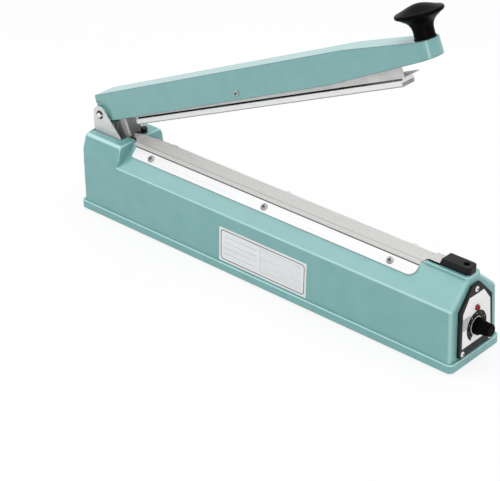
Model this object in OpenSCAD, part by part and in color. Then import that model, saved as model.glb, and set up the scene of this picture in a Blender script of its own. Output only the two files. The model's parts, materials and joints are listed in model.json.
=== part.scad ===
// Bench impulse sealer: a cast housing with a heated sealing bed, a hinged arm that carries a
// rocking press bar, and a timer in the right end. Millimetres, +Z up, +X to the control panel.
// Housing sizes count from the middle of the flange and from the flange's underside.
// Arm sizes count from the hinge pin, along the arm (x) and square to it (z).

/* [Housing] */
// Length over the bottom flange
housing_l = 550; // [540:1:600]
// Width over the bottom flange
housing_w = 87; // [86:0.5:92]
// Height of the bottom flange
flange_h = 9.8; // [9:0.1:11]
// How far the flange stands out beyond the walls
flange_out = 2.3; // [2:0.1:2.6]
// Radius of the flange's corners
corner_r = 6; // [5:0.5:8]
// Radius of the walls' upright edges
wall_r = 7; // [4:0.5:8]
// Wall thickness of the casting
wall_t = 3; // [2.6:0.1:3.2]
// Height of the long walls up to the slope
wall_h = 70.5; // [69:0.5:72]
// Inward lean of each long wall over its height
wall_lean = 1.6; // [1:0.1:2]
// Inward lean of the left end wall over its height
end_lean = 1.8; // [1:0.1:2]
// Height of the ridge top
ridge_h = 94.1; // [93:0.1:96]
// Half width of the ridge top
ridge_half = 12.05; // [11.5:0.05:13]
// Length of the hinge tower, from the flange edge
tower_l = 63; // [62:0.5:66]
// Rise of the tower above the ridge
tower_up = 2.2; // [1.5:0.1:3]
// Inward lean of the tower's sides above the walls
tower_lean = 5.6; // [4.5:0.1:6]
// Edge radius of the tower top
tower_edge_r = 4; // [3:0.5:5]
// Half width of the slot in the tower top
slot_half = 22; // [21.5:0.1:23]
// Length of the right end, from the flange edge to the sealing bed
end_l = 62.5; // [61:0.5:66]
// Rise of the seat for the right end block
seat_up = 3.9; // [3.5:0.1:4.5]
// Set-back of the right end wall, filled by the control panel
panel_t = 3.5; // [3:0.1:4]
// Inward lean of the right end wall, in degrees
right_lean = 3; // [2.5:0.1:3.5]
// Height of the rubber feet below the flange
foot_h = 2; // [1.8:0.1:3]

/* [Sealing bed] */
// Half width of the heater bar
bar_half = 9.5; // [9:0.1:10]
// Rise of the heater bar above the ridge
bar_up = 1.5; // [1.2:0.1:2]
// Depth of the bar's groove in the ridge
groove_d = 4; // [3.5:0.1:4.5]
// Thickness of the insulation strip
insulation_t = 0.2; // [0.15:0.05:0.3]
// Thickness of the heating ribbon
ribbon_t = 0.15; // [0.1:0.05:0.2]
// Width of the heating ribbon
ribbon_w = 3; // [2:0.5:4]
// Thickness of the release cloth
cloth_t = 0.2; // [0.15:0.05:0.3]
// Width of the clamp strips, down the slope
strip_w = 13.1; // [12.5:0.1:13.5]
// Thickness of the clamp strips
strip_t = 1.5; // [1.2:0.1:2]
// Gap from the ridge edge down to the clamp strips
strip_from = 4; // [3.5:0.1:4.5]
// Spacing of the clamp strip screws
strip_pitch = 175; // [165:1:185]

/* [Hinge] */
// Distance of the hinge pin from the left flange edge
hinge_in = 16; // [15.8:0.1:17]
// Radius of the hinge pin
pin_r = 3; // [2.8:0.1:3.2]
// Half width over the hinge bracket's cheeks
cheek_half = 20; // [19.7:0.1:20.4]
// Plate thickness of the hinge bracket
plate_t = 2; // [1.8:0.1:2.2]
// Wire diameter of the return spring
wire_d = 1.4; // [1.2:0.1:1.4]
// Full turns of the return spring
spring_turns = 4; // [3:1:4]

/* [Arm] */
// Angle of the arm above level at rest
open_deg = 23.85; // [22:0.05:25]
// Half width of the arm
arm_half = 15.7; // [15.4:0.1:16]
// Wall thickness of the arm
arm_t = 2.4; // [2.2:0.1:2.6]
// Top of the arm above the hinge pin
arm_top = 23.3; // [22.5:0.1:24]
// Underside of the arm below the hinge pin
arm_low = 10.5; // [10.1:0.1:10.8]
// Length from the hinge pin to the tip of the nose
arm_l = 513.5; // [508:0.5:520]
// Length of the tapered nose along its top
nose_l = 112.5; // [108:0.5:120]
// Slope of the nose's top and underside
nose_deg = 3.4; // [2.5:0.1:4]
// Distance of the press bar's pin from the hinge pin
rock_at = 233.7; // [225:0.1:242]
// Distance of the hand knob from the tip of the nose
knob_in = 13; // [12.5:0.1:16]
// Radius of the hand knob's cap
cap_r = 25.3; // [23:0.1:27]
// Height of the hand knob
cap_h = 35; // [33:0.5:37]

/* [Press bar] */
// Half width of the press rail
rail_half = 10.8; // [10.6:0.1:11.2]
// Top of the rail below the hinge pin
rail_top = 13.6; // [13.4:0.1:14]
// Height of the rail without its strip
rail_h = 8.2; // [7.8:0.1:8.6]
// Half width of the silicone strip
pad_half = 9.6; // [9.2:0.1:9.6]
// How far the silicone strip stands out of the rail
pad_out = 1.4; // [1:0.1:1.6]
// Height of the rail's narrow neck
neck_h = 2.8; // [2.4:0.1:3.2]
// Angle at which the bar hangs below the arm
bar_tilt = 0.6; // [0.5:0.05:0.7]
// Gap left over the bed with the arm closed
close_gap = 1.5; // [1.4:0.1:2]

/* [Controls] */
// Height of the timer knob's axis
timer_h = 39.4; // [38:0.1:41]
// Radius of the timer knob at its base
timer_r = 9.6; // [9:0.1:10]
// Overhang of the timer knob beyond the flange
timer_out = 18; // [16:0.5:20]
// Height of the lamp
lamp_h = 61; // [60.5:0.1:62.5]
// Radius of the lamp
lamp_r = 3.3; // [2.8:0.1:3.6]

/* [Inside] */
// Place of the transformer, from the right end wall
coil_in = 208; // [190:1:240]
// Place of the timer board, from the right end wall
board_in = 73; // [65:1:85]

/* [Hidden] */
$fn = 64;
fit_gap = 0.05;
loose = 0.3;
half_l = housing_l / 2;
flange_half = housing_w / 2;
wall_b = flange_half - flange_out;
wall_a = wall_b - wall_lean;
lean_deg = atan(wall_lean / (wall_h - flange_h));
slope_deg = atan((ridge_h - wall_h) / (wall_a - ridge_half));
left_x = -half_l + flange_out;
right_x = half_l - panel_t;
in_left = left_x + wall_t + 0.5;
in_right = right_x - wall_t;
coil_x = in_right - coil_in;
board_x = in_right - board_in;
tower_x = -half_l + tower_l;
tower_h = ridge_h + tower_up;
tower_a = wall_a - tower_lean;
bed_x = half_l - end_l;
seat_h = ridge_h + seat_up;
roof_t = groove_d + 4;
roof_h = ridge_h - roof_t;
cover_t = 1.5;
ledge_z = 1.8;
ledge_w = 1.6;

bar_z = ridge_h + bar_up;
ribbon_z = bar_z + insulation_t;
cloth_z = ribbon_z + ribbon_t;
bed_top = cloth_z + cloth_t;
bar_x0 = tower_x + 1;
bar_x1 = bed_x - 1;
strip_x0 = tower_x + 9;
strip_x1 = bed_x - 3.5;
strip_mid = (bar_x0 + bar_x1) / 2;
strip_screws = [strip_mid - strip_pitch, strip_mid, strip_mid + strip_pitch];
strip_screw_r = 1.7;
insulation_half = 6;
term_left_x = tower_x - 6;
term_right_x = bed_x + 8.5;
term_r = 4;
term_screw_r = 1.9;
chan_half = 8;

pivot_x = -half_l + hinge_in;
rock_z = -2.4;
rail_drop = rail_top + rail_h + pad_out;
pivot_z = bed_top + close_gap + rail_drop + rock_z - rock_at * sin(bar_tilt) - rock_z * cos(bar_tilt);
cheek_in = cheek_half - plate_t;
slot_x0 = in_left - 0.3;
slot_x1 = tower_x - 13;
lug_r = arm_low - 0.9;
lug_cut = 1;
lug_cut_r = 15;
bush_r = 5;
bush_flange_r = 8;
web_x = in_left + plate_t;
spring_r = pivot_x - web_x - wire_d / 2 - loose;
spring_y0 = 11.5;
spring_y1 = 3.2;
spring_foot = 40;
spring_tip = [30, arm_top - arm_t - 2.4 - wire_d / 2 - 0.1];

nose_x = arm_l - arm_half;
bend_x = arm_l - nose_l;
low_bend_x = bend_x - 34;
knob_x = arm_l - knob_in;
nose_top = arm_top - (knob_x - bend_x) * tan(nose_deg);
bolt_r = 3;
rail_x0 = tower_x + 2.5 - pivot_x;
carrier_x1 = bed_x - 1.2 - pivot_x;
rail_x1 = carrier_x1 - 7.5;
rail_end = 30;
rail_pitch = (rail_x1 - rail_x0 - 2 * rail_end) / 3;
rail_screws = [for (i = [0 : 3]) rail_x0 + rail_end + i * rail_pitch];
rail_screw_r = 1.7;
carrier_t = 1.2;
carrier_half = 12.2;
carrier_up = 3.5;
carrier_heel = 26;
rock_r = 2.5;

striker_x0 = 9.5;
striker_w = 7.5;
striker_t = 3;
striker_low = 66;
striker_foot = 34;
striker_screws = [23, 30];
striker_bolt_y = 6.5;
striker_bolt_r = 1.3;
foot_t = 2.4;
foot_half = 9;
plunger_z = pivot_z - striker_low + 5.5;
striker_reach = pivot_z - plunger_z;
plunger_r = 1.3;
plunger_gap = 0.35;
plunger_out = 2.2;
striker_face = pivot_x + striker_x0 * cos(bar_tilt) + (striker_reach - plunger_r) * tan(bar_tilt);
plunger_tip = striker_face - plunger_gap;
switch_x1 = plunger_tip - plunger_out;
switch_d = 10;
switch_h = 20;
switch_w = 6.4;
switch_bolts = [-6, 6];
switch_bolt_r = 1.1;
tab_bolt_r = 1.5;
tab_t = 1.5;

pot_r = 8;
pot_d = 10;
neck_r = 3.5;
shaft_r = 3;
nut_r = 5.5;
timer_tip_r = timer_r - 2.7;
tip_edge = 0.9;
timer_drop = (timer_h - flange_h - timer_tip_r + tip_edge) * sin(right_lean);
timer_l = (timer_out + panel_t + timer_drop) / cos(right_lean) - panel_t;
panel_half = 29.7;
panel_in = 1.7;
panel_low = flange_h + 2.8;
panel_top_half = 7;
panel_top = ridge_h - 6;
label_t = 0.3;
label_half = 25.3;
label_low = 22;
panel_bolt_z = panel_top - 5.6;
label_top = panel_bolt_z - 5.7;
panel_bolts = [[0, panel_bolt_z], [-24.2, 16], [24.2, 16]];
panel_bolt_r = 1.6;

posts = [[-half_l + 30, 32], [0, 32], [half_l - 30, 32]];
post_r = 4;
post_h = 14;
post_bolt_r = 1.4;
foot_x = half_l - 18;
foot_y = flange_half - 16;
foot_r = 8;
foot_bolt_r = 1.5;
bush_x = half_l - 75;
bush_z = 24;
cord_bush_r = 6;
bracket_bolts = [60, 82];
bracket_bolt_r = 2;
bracket_head_r = 3.6;

// Housing frame to part frame: the part's middle lies halfway along its whole length
module place() {
    translate([-timer_out / 2, 0, foot_h]) children();
}

// Arm frame at rest
module on_arm() {
    place() translate([pivot_x, 0, pivot_z]) rotate([0, -open_deg, 0]) children();
}

// Press bar at rest: in the arm's frame, hanging on its pin
module on_bar() {
    on_arm() translate([rock_at, 0, rock_z]) rotate([0, bar_tilt, 0])
        translate([-rock_at, 0, -rock_z]) children();
}

// Flat shape (across, up) drawn out along the housing from x0 to x1
module along_x(x0, x1) {
    translate([x0, 0, 0]) rotate([90, 0, 90]) linear_extrude(x1 - x0) children();
}

// Flat shape (along, up) drawn out across from y0 to y1
module across(y0, y1) {
    translate([0, y1, 0]) rotate([90, 0, 0]) linear_extrude(y1 - y0) children();
}

// Front slope: x along, y up the slope from the ridge edge, z out of the slope
module on_front_slope() {
    translate([0, -ridge_half, ridge_h]) rotate([slope_deg, 0, 0]) children();
}

// Both slopes
module on_slopes() {
    on_front_slope() children();
    mirror([0, 1, 0]) on_front_slope() children();
}

// Point on a long wall's outer face: z out of the wall
module on_back_wall(x, z) {
    translate([x, wall_b - (z - flange_h) * tan(lean_deg), z]) rotate([lean_deg - 90, 0, 0])
        children();
}

// Right end: what is built upright against the end wall, leant inward with it
module on_right_end() {
    translate([right_x, 0, flange_h]) rotate([0, -right_lean, 0]) translate([-right_x, 0, -flange_h])
        children();
}

// Point on the right end: z out of the end wall, x across to the back, y up
module on_end(x, y, z) {
    translate([x, y, z]) rotate([90, 0, 90]) children();
}

module round_rect(l, w, r) {
    square([l - 2 * r, w], center = true);
    square([l, w - 2 * r], center = true);
    for (i = [-1, 1]) {
        for (j = [-1, 1]) {
            translate([i * (l / 2 - r), j * (w / 2 - r)]) circle(r);
        }
    }
}

// Domed screw with a cross recess: head up, underside of the head at zero
module cross_screw(head_r, head_h, r, l) {
    dome = 0.6 * head_h;
    dome_r = (head_r * head_r + dome * dome) / (2 * dome);
    slot_w = head_r * 0.28;
    slot_l = head_r * 1.15;
    difference() {
        union() {
            intersection() {
                cylinder(h = head_h, r = head_r);
                translate([0, 0, head_h - dome_r]) sphere(dome_r, $fn = 96);
            }
            translate([0, 0, -l]) cylinder(h = l, r = r);
        }
        for (a = [0, 90]) {
            rotate([0, 0, a]) translate([0, 0, head_h]) cube([slot_l, slot_w, head_h], center = true);
        }
    }
}

module hex(r, h) {
    cylinder(h = h, r = r, $fn = 6);
}

function arc(c, r, a0, a1, n) = [for (i = [0 : n]) c + r * [cos(a0 + (a1 - a0) * i / n),
    sin(a0 + (a1 - a0) * i / n)]];
function flip(p) = [for (i = [len(p) - 1 : -1 : 0]) [-p[i][0], p[i][1]]];
function unit(v) = v / norm(v);
function side(a, b) = [-(b - a)[1], (b - a)[0]] / norm(b - a);

// Line of points moved sideways by t, with mitred corners
function moved(p, t) = [for (i = [0 : len(p) - 1])
    let (n0 = side(p[max(i - 1, 0)], p[max(i, 1)]),
         n1 = side(p[min(i, len(p) - 2)], p[min(i + 1, len(p) - 1)]))
    p[i] + t * (n0 + n1) / (1 + n0 * n1)];

// Half outlines from the bottom up to the middle, on the back side
function main_half() = [[wall_b, 0], [wall_b, flange_h], [wall_a, wall_h], [ridge_half, ridge_h]];

tower_n = unit([tower_h - wall_h, tower_lean]);
tower_cy = wall_a + ((wall_h - tower_h + tower_edge_r) * tower_n[1] - tower_edge_r) / tower_n[0];
function tower_half() = concat([[wall_b, 0], [wall_b, flange_h], [wall_a, wall_h]],
    arc([tower_cy, tower_h - tower_edge_r], tower_edge_r, atan2(tower_n[1], tower_n[0]), 90, 8));

in_b = wall_b - wall_t;
in_a = wall_a - wall_t;
in_h = wall_h + wall_t * tan(slope_deg) - wall_t / cos(slope_deg);
in_ridge = wall_a - (roof_h - wall_h + wall_t / cos(slope_deg)) / tan(slope_deg);
function main_hollow() = [[in_b, ledge_z - 0.1], [in_b, flange_h], [in_a, in_h], [in_ridge, roof_h]];
function tower_hollow() = [[in_b, ledge_z], [in_b, flange_h], [in_a, wall_h],
    [tower_a - wall_t - 1, tower_h - wall_t]];

module plan_block(h) {
    linear_extrude(h) union() {
        translate([(left_x + right_x) / 2, 0]) round_rect(right_x - left_x, 2 * wall_b, wall_r);
        translate([0, -wall_b]) square([right_x, 2 * wall_b]);
    }
}

module tower_plan(h) {
    translate([(left_x + tower_x) / 2, 0, 0]) linear_extrude(h)
        round_rect(tower_x - left_x, 2 * wall_b, wall_r);
}

// Place of the left end wall's outer face at a height
function left_face(z) = left_x + end_lean * (z - flange_h) / (tower_h - flange_h);

// Place of a face leant like the right end wall, at a height
function leant(x, z) = x - (z - flange_h) * tan(right_lean);

// Side view that gives the end walls their lean
module end_cut() {
    z = seat_h + 1;
    across(-wall_b, wall_b)
        polygon([[left_x, 0], [left_x, flange_h], [left_face(z), z], [leant(right_x, z), z],
            [right_x, flange_h], [right_x, 0]]);
}

module housing_shape() {
    linear_extrude(flange_h) round_rect(housing_l, housing_w, corner_r);
    intersection() {
        plan_block(tower_h + 1);
        end_cut();
        along_x(left_x, right_x) polygon(concat(main_half(), flip(main_half())));
    }
    intersection() {
        tower_plan(tower_h + 1);
        end_cut();
        along_x(left_x, tower_x) polygon(concat(tower_half(), flip(tower_half())));
    }
    intersection() {
        translate([bed_x, -ridge_half, roof_h])
            cube([right_x - bed_x, 2 * ridge_half, seat_h - roof_h]);
        end_cut();
    }
}

module housing_hollow() {
    intersection() {
        along_x(in_left, in_right) polygon(concat(main_hollow(), flip(main_hollow())));
        across(-wall_b, wall_b)
            polygon([[in_left, 0], [in_left, tower_h], [leant(in_right, tower_h), tower_h],
                [in_right, flange_h], [in_right, 0]]);
    }
    along_x(in_left, tower_x - wall_t) polygon(concat(tower_hollow(), flip(tower_hollow())));
    translate([in_left - ledge_w, -in_b - ledge_w, -1])
        cube([in_right - in_left + 2 * ledge_w, 2 * (in_b + ledge_w), ledge_z + 1]);
}

module at_posts() {
    for (p = posts) {
        for (s = [-1, 1]) {
            translate([p[0], s * p[1], 0]) children();
        }
    }
}

module housing() {
    color([0.48, 0.66, 0.67]) place() difference() {
        union() {
            difference() {
                housing_shape();
                housing_hollow();
            }
            for (p = posts) {
                for (s = [-1, 1]) {
                    translate([p[0], s * p[1], ledge_z]) cylinder(h = post_h, r = post_r);
                    translate([p[0] - 1.5, s > 0 ? p[1] : -in_b - 0.5, ledge_z])
                        cube([3, in_b + 0.5 - p[1], post_h]);
                }
            }
        }
        translate([(slot_x0 + slot_x1) / 2, 0, tower_h - wall_t - 1]) linear_extrude(wall_t + 2)
            round_rect(slot_x1 - slot_x0, 2 * slot_half, 5);
        translate([slot_x1 - 1, -chan_half, ridge_h - 8.1])
            cube([tower_x - slot_x1 + 2, 2 * chan_half, 12]);
        translate([tower_x, -bar_half - fit_gap, ridge_h - groove_d])
            cube([bed_x - tower_x, 2 * (bar_half + fit_gap), seat_up + groove_d + 1]);
        translate([bed_x - 1, -chan_half, ridge_h - groove_d])
            cube([17.5, 2 * chan_half, groove_d + seat_up + 1]);
        on_slopes() for (x = strip_screws) {
            translate([x, -strip_from - strip_w / 2, -8]) cylinder(h = 10, r = strip_screw_r + fit_gap);
        }
        translate([block_bolt_x, 0, roof_h - 1]) cylinder(h = 14, r = term_screw_r + fit_gap);
        translate([term_left_x, 0, roof_h - 8]) cylinder(h = 10, r = term_screw_r + fit_gap);
        translate([term_right_x, 0, roof_h - 1]) cylinder(h = 8, r = term_screw_r + fit_gap);
        for (z = bracket_bolts) {
            translate([left_x - 1, 0, z]) rotate([0, 90, 0])
                cylinder(h = wall_t + 3, r = bracket_bolt_r + fit_gap);
        }
        on_right_end() {
            on_end(in_right - 1, 0, timer_h) cylinder(h = wall_t + 2, r = neck_r + fit_gap);
            on_end(in_right - 1, 0, lamp_h) cylinder(h = wall_t + 2, r = lamp_r + fit_gap);
            for (b = panel_bolts) {
                on_end(in_right - 5, b[0], b[1]) cylinder(h = wall_t + 6, r = panel_bolt_r + fit_gap);
            }
        }
        on_back_wall(bush_x, bush_z) translate([0, 0, -wall_t - 3])
            cylinder(h = wall_t + 6, r = cord_bush_r + fit_gap);
        at_posts() cylinder(h = post_h - 1, r = post_bolt_r + fit_gap);
    }
}

module bottom_cover() {
    color([0.55, 0.56, 0.57]) place() difference() {
        translate([(in_left + in_right) / 2, 0, ledge_z - cover_t]) linear_extrude(cover_t)
            round_rect(in_right - in_left + 2 * ledge_w - 2 * loose, 2 * (in_b + ledge_w - loose), 2);
        at_posts() cylinder(h = 20, r = post_bolt_r + fit_gap, center = true);
        at_feet() cylinder(h = 20, r = foot_bolt_r + fit_gap, center = true);
        at_core_bolts() cylinder(h = 20, r = core_bolt_r + fit_gap, center = true);
        at_board_bolts() cylinder(h = 20, r = peg_r + fit_gap, center = true);
    }
}

module at_feet() {
    for (i = [-1, 1]) {
        for (j = [-1, 1]) {
            translate([i * foot_x, j * foot_y, 0]) children();
        }
    }
}

module cover_screws() {
    color([0.7, 0.7, 0.72]) place() at_posts() translate([0, 0, ledge_z - cover_t]) mirror([0, 0, 1])
        cross_screw(2.8, 1.6, post_bolt_r, 9);
}

module rubber_feet() {
    color([0.08, 0.08, 0.08]) place() at_feet() difference() {
        translate([0, 0, -foot_h]) cylinder(h = foot_h + ledge_z - cover_t, r = foot_r);
        translate([0, 0, -foot_h - 1]) cylinder(h = 2.2, r = 3.6);
        translate([0, 0, -5]) cylinder(h = 10, r = foot_bolt_r + fit_gap);
    }
}

module foot_screws() {
    color([0.7, 0.7, 0.72]) place() at_feet() translate([0, 0, 1.2 - foot_h]) mirror([0, 0, 1])
        cross_screw(3, 1, foot_bolt_r, 6);
}

module heater_bar() {
    color([0.75, 0.76, 0.77]) place() translate([bar_x0, -bar_half, ridge_h - groove_d])
        cube([bar_x1 - bar_x0, 2 * bar_half, groove_d + bar_up]);
}

module insulation_strip() {
    color([0.72, 0.6, 0.42]) place() translate([bar_x0 + 3, -insulation_half, bar_z])
        cube([bar_x1 - bar_x0 - 6, 2 * insulation_half, insulation_t]);
}

module heating_element() {
    color([0.66, 0.64, 0.6]) place() translate([0, 0, ribbon_z]) linear_extrude(ribbon_t) difference() {
        union() {
            translate([term_left_x, -ribbon_w / 2]) square([term_right_x - term_left_x, ribbon_w]);
            translate([term_left_x, 0]) circle(term_r);
            translate([term_right_x, 0]) circle(term_r);
        }
        translate([term_left_x, 0]) circle(term_screw_r + fit_gap);
        translate([term_right_x, 0]) circle(term_screw_r + fit_gap);
    }
}

block_x0 = bed_x + 15.2;
block_x1 = leant(right_x, seat_h) - 1.1;
block_h = 8.8;
tongue_h = 2;
block_bolt_x = bed_x + 44.5;

cloth_tuck = strip_from + strip_w - 5;
cloth_under = [[-ridge_half - cloth_tuck * cos(slope_deg), ridge_h - cloth_tuck * sin(slope_deg)],
    [-ridge_half, ridge_h], [-bar_half, bar_z], [-insulation_half - 0.4, cloth_z],
    [insulation_half + 0.4, cloth_z], [bar_half, bar_z], [ridge_half, ridge_h],
    [ridge_half + cloth_tuck * cos(slope_deg), ridge_h - cloth_tuck * sin(slope_deg)]];

// Side view of the cloth's tab, which climbs onto the right end block's tongue
cloth_x1 = strip_x1 - 0.6;
tab_z = seat_h + tongue_h;
tab_under = [[cloth_x1 - 2, cloth_z], [cloth_x1, cloth_z], [bed_x - 0.4, seat_h + 0.3],
    [bed_x + 3.3, tab_z], [block_x0 + 0.8, tab_z]];

function thickened(line) = let (over = moved(line, cloth_t))
    concat(line, [for (i = [len(over) - 1 : -1 : 0]) over[i]]);

module release_cloth() {
    color([0.8, 0.78, 0.74]) place() difference() {
        union() {
            along_x(bar_x0 + 1.5, cloth_x1) polygon(thickened(cloth_under));
            across(-chan_half, chan_half) polygon(thickened(tab_under));
        }
        on_slopes() for (x = strip_screws) {
            translate([x, -strip_from - strip_w / 2, -2]) cylinder(h = 4, r = strip_screw_r + loose);
        }
    }
}

// Strip outline on the slope: small corner at the lower left, large round at the lower right
module strip_outline() {
    l = strip_x1 - strip_x0;
    big = 9;
    small = 3;
    difference() {
        translate([strip_x0, -strip_from - strip_w]) square([l, strip_w]);
        translate([strip_x1 - big, -strip_from - strip_w]) difference() {
            translate([0, -1]) square([big + 1, big + 1]);
            translate([0, big]) circle(big);
        }
        translate([strip_x0, -strip_from - strip_w]) difference() {
            translate([-1, -1]) square([small + 1, small + 1]);
            translate([small, small]) circle(small);
        }
        for (x = strip_screws) {
            translate([x, -strip_from - strip_w / 2]) circle(strip_screw_r + loose);
        }
    }
}

module clamp_strip() {
    translate([0, 0, cloth_t]) linear_extrude(strip_t) strip_outline();
}

module front_clamp_strip() {
    color([0.93, 0.93, 0.94]) place() on_front_slope() clamp_strip();
}

module rear_clamp_strip() {
    color([0.93, 0.93, 0.94]) place() mirror([0, 1, 0]) on_front_slope() clamp_strip();
}

module clamp_strip_screws() {
    color([0.75, 0.75, 0.76]) place() on_slopes() for (x = strip_screws) {
        translate([x, -strip_from - strip_w / 2, cloth_t + strip_t])
            cross_screw(4.2, 1.9, strip_screw_r, 7);
    }
}

module right_end_block() {
    r = 5;
    color([0.06, 0.06, 0.06]) place() translate([0, 0, seat_h]) difference() {
        union() {
            translate([bed_x + 3.5, -chan_half, 0])
                cube([block_x1 - r - bed_x - 3.5, 2 * chan_half, tongue_h]);
            intersection() {
                linear_extrude(block_h) union() {
                    translate([block_x0, -chan_half]) square([block_x1 - r - block_x0, 2 * chan_half]);
                    translate([block_x1 - 2 * r, -chan_half + r]) square([2 * r, 2 * (chan_half - r)]);
                    for (s = [-1, 1]) {
                        translate([block_x1 - r, s * (chan_half - r)]) circle(r);
                    }
                }
                across(-chan_half - 1, chan_half + 1)
                    polygon([[block_x0, -1], [block_x0 + 4, block_h + 1], [block_x1 + 1, block_h + 1],
                        [block_x1 + 1, -1]]);
            }
        }
        translate([block_bolt_x, 0, tongue_h]) cylinder(h = block_h, r = 3.4);
        translate([block_bolt_x, 0, -1]) cylinder(h = block_h, r = term_screw_r + fit_gap);
    }
}

module end_block_screw() {
    color([0.3, 0.3, 0.31]) place() translate([block_bolt_x, 0, seat_h + tongue_h])
        cross_screw(3.1, 1.8, term_screw_r, 12);
}

left_block_x0 = slot_x1 + 0.3;
left_block_x1 = tower_x - 0.3;
left_block_d = 8.1;
ear_y = 5.2;
ear_t = 1.5;
ear_half = 3;
cap_x = left_block_x0 + 4.6;
cap_y = 13.5;
post_cap_r = 4.1;
post_cap_h = 6;

module left_end_block() {
    l = left_block_x1 - left_block_x0;
    half = chan_half - fit_gap;
    low = ridge_h - left_block_d;
    color([0.06, 0.06, 0.06]) place() difference() {
        union() {
            translate([left_block_x0, -half, low])
                cube([l, 2 * half, left_block_d + bar_up + insulation_t - 0.3]);
            translate([left_block_x0, ear_y, low]) cube([l, half - ear_y, tower_h + ear_t - low]);
            translate([cap_x - ear_half, ear_y, tower_h]) cube([2 * ear_half, cap_y - ear_y, ear_t]);
            translate([cap_x, cap_y, tower_h]) cylinder(h = post_cap_h, r = post_cap_r);
        }
        translate([term_left_x - 4.5 - fit_gap, -4.5 - fit_gap, ribbon_z - 5])
            cube([9 + 2 * fit_gap, 9 + 2 * fit_gap, 9]);
        translate([term_left_x, 0, 0]) cylinder(h = ridge_h, r = term_screw_r + fit_gap);
    }
}

module element_terminals() {
    color([0.78, 0.62, 0.3]) place() for (x = [term_left_x, term_right_x]) {
        low = x < 0 ? ribbon_z - 5 : ridge_h - groove_d;
        difference() {
            translate([x - 4.5, -4.5, low]) cube([9, 9, ribbon_z - low]);
            translate([x, 0, low - 1]) cylinder(h = 12, r = term_screw_r + fit_gap);
        }
    }
}

module terminal_screws() {
    color([0.8, 0.8, 0.8]) place() for (x = [term_left_x, term_right_x]) {
        translate([x, 0, ribbon_z + ribbon_t]) cross_screw(3.4, 1.8, term_screw_r, 8);
    }
}

cheek_low = 50;
cheek_r = 9.8;
cheek_back = 1.3;
cheek_lean = 42;
web_top = tower_h - wall_t - loose;

module cheek_outline() {
    right = pivot_x + 32;
    left = pivot_x - 9.1;
    mid = [pivot_x - cheek_back, pivot_z];
    back = mid[0] - cheek_r;
    difference() {
        union() {
            translate(mid) circle(cheek_r);
            polygon([[in_left, cheek_low], [pivot_x + 22, cheek_low], [right, tower_h - 22],
                [right, tower_h + 0.6], mid + cheek_r * [cos(cheek_lean), sin(cheek_lean)],
                [back, pivot_z], [back, tower_h + loose], [left, tower_h + loose],
                [left, web_top], [in_left, web_top]]);
        }
        translate([pivot_x, pivot_z]) circle(pin_r + 0.02);
    }
}

module hinge_bracket() {
    color([0.8, 0.8, 0.8]) place() difference() {
        union() {
            across(-cheek_half, -cheek_in) cheek_outline();
            across(cheek_in, cheek_half) cheek_outline();
            translate([in_left, -cheek_half, cheek_low])
                cube([plate_t, 2 * cheek_half, web_top - cheek_low]);
        }
        for (z = bracket_bolts) {
            translate([in_left - 1, 0, z]) rotate([0, 90, 0])
                cylinder(h = plate_t + 2, r = bracket_bolt_r + fit_gap);
        }
        for (b = switch_tabs) {
            translate([in_left - 1, b[0], b[1]]) rotate([0, 90, 0])
                cylinder(h = plate_t + 2, r = tab_bolt_r + fit_gap);
        }
    }
}

module bracket_screws() {
    color([0.75, 0.75, 0.76]) place() for (z = bracket_bolts) {
        translate([left_face(z - bracket_head_r), 0, z]) rotate([0, -90, 0])
            cross_screw(bracket_head_r, 1.9, bracket_bolt_r, in_left + plate_t + 1 - left_face(z));
    }
}

pin_half = cheek_half + 2.2;
clip_t = 0.9;
clip_groove = 0.4;

module hinge_pin() {
    color([0.85, 0.85, 0.85]) place() translate([pivot_x, 0, pivot_z]) rotate([90, 0, 0]) difference() {
        cylinder(h = 2 * pin_half, r = pin_r, center = true);
        for (s = [-1, 1]) {
            translate([0, 0, s * (cheek_half + clip_t / 2 + 0.1)]) difference() {
                cylinder(h = clip_t, r = pin_r + 1, center = true);
                cylinder(h = clip_t + 1, r = pin_r - clip_groove, center = true);
            }
        }
    }
}

module hinge_pin_clips() {
    color([0.07, 0.07, 0.07]) place() translate([pivot_x, 0, pivot_z]) rotate([90, 0, 0])
        for (s = [-1, 1]) {
        translate([0, 0, s * (cheek_half + clip_t / 2 + 0.1)]) difference() {
            cylinder(h = clip_t, r = pin_r + 2, center = true);
            cylinder(h = clip_t + 1, r = pin_r - clip_groove + 0.02, center = true);
            translate([pin_r + 1, 0, 0]) cube([2 * pin_r, 3, clip_t + 1], center = true);
        }
    }
}

// Return spring: one foot down behind the bracket's web, the other up under the striker's foot
tip_reach = norm(spring_tip);
spring_end = atan2(spring_tip[1], spring_tip[0]) + acos(spring_r / tip_reach) + open_deg;
spring_sweep = 180 - spring_end + 360 * spring_turns;
spring_rings = ceil(spring_sweep / 45);
spring_leg = sqrt(tip_reach * tip_reach - spring_r * spring_r);
leg_dir = [sin(spring_end), 0, -cos(spring_end)];
function coil_at(t) = [spring_r * cos(180 - spring_sweep * t), spring_y0 + (spring_y1 - spring_y0) * t,
    spring_r * sin(180 - spring_sweep * t)];
spring_coil = [for (i = [0 : spring_rings]) coil_at(i / spring_rings)];
spring_path = concat([[-spring_r, spring_y0, -spring_foot], [-spring_r, spring_y0, -wire_d]], spring_coil,
    [spring_coil[spring_rings] + leg_dir * wire_d, spring_coil[spring_rings] + leg_dir * spring_leg]);
gap_steps = 40 * (spring_turns + 1);
gap_skip = floor(gap_steps * 180 / spring_sweep);
gap_points = [for (i = [0 : gap_steps]) coil_at(i / gap_steps)];
spring_gap = min([for (i = [0 : gap_steps]) for (j = [i + gap_skip : 1 : gap_steps])
    norm(gap_points[i] - gap_points[j])]) - wire_d;
echo(str("return spring least self-gap ", spring_gap));

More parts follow.
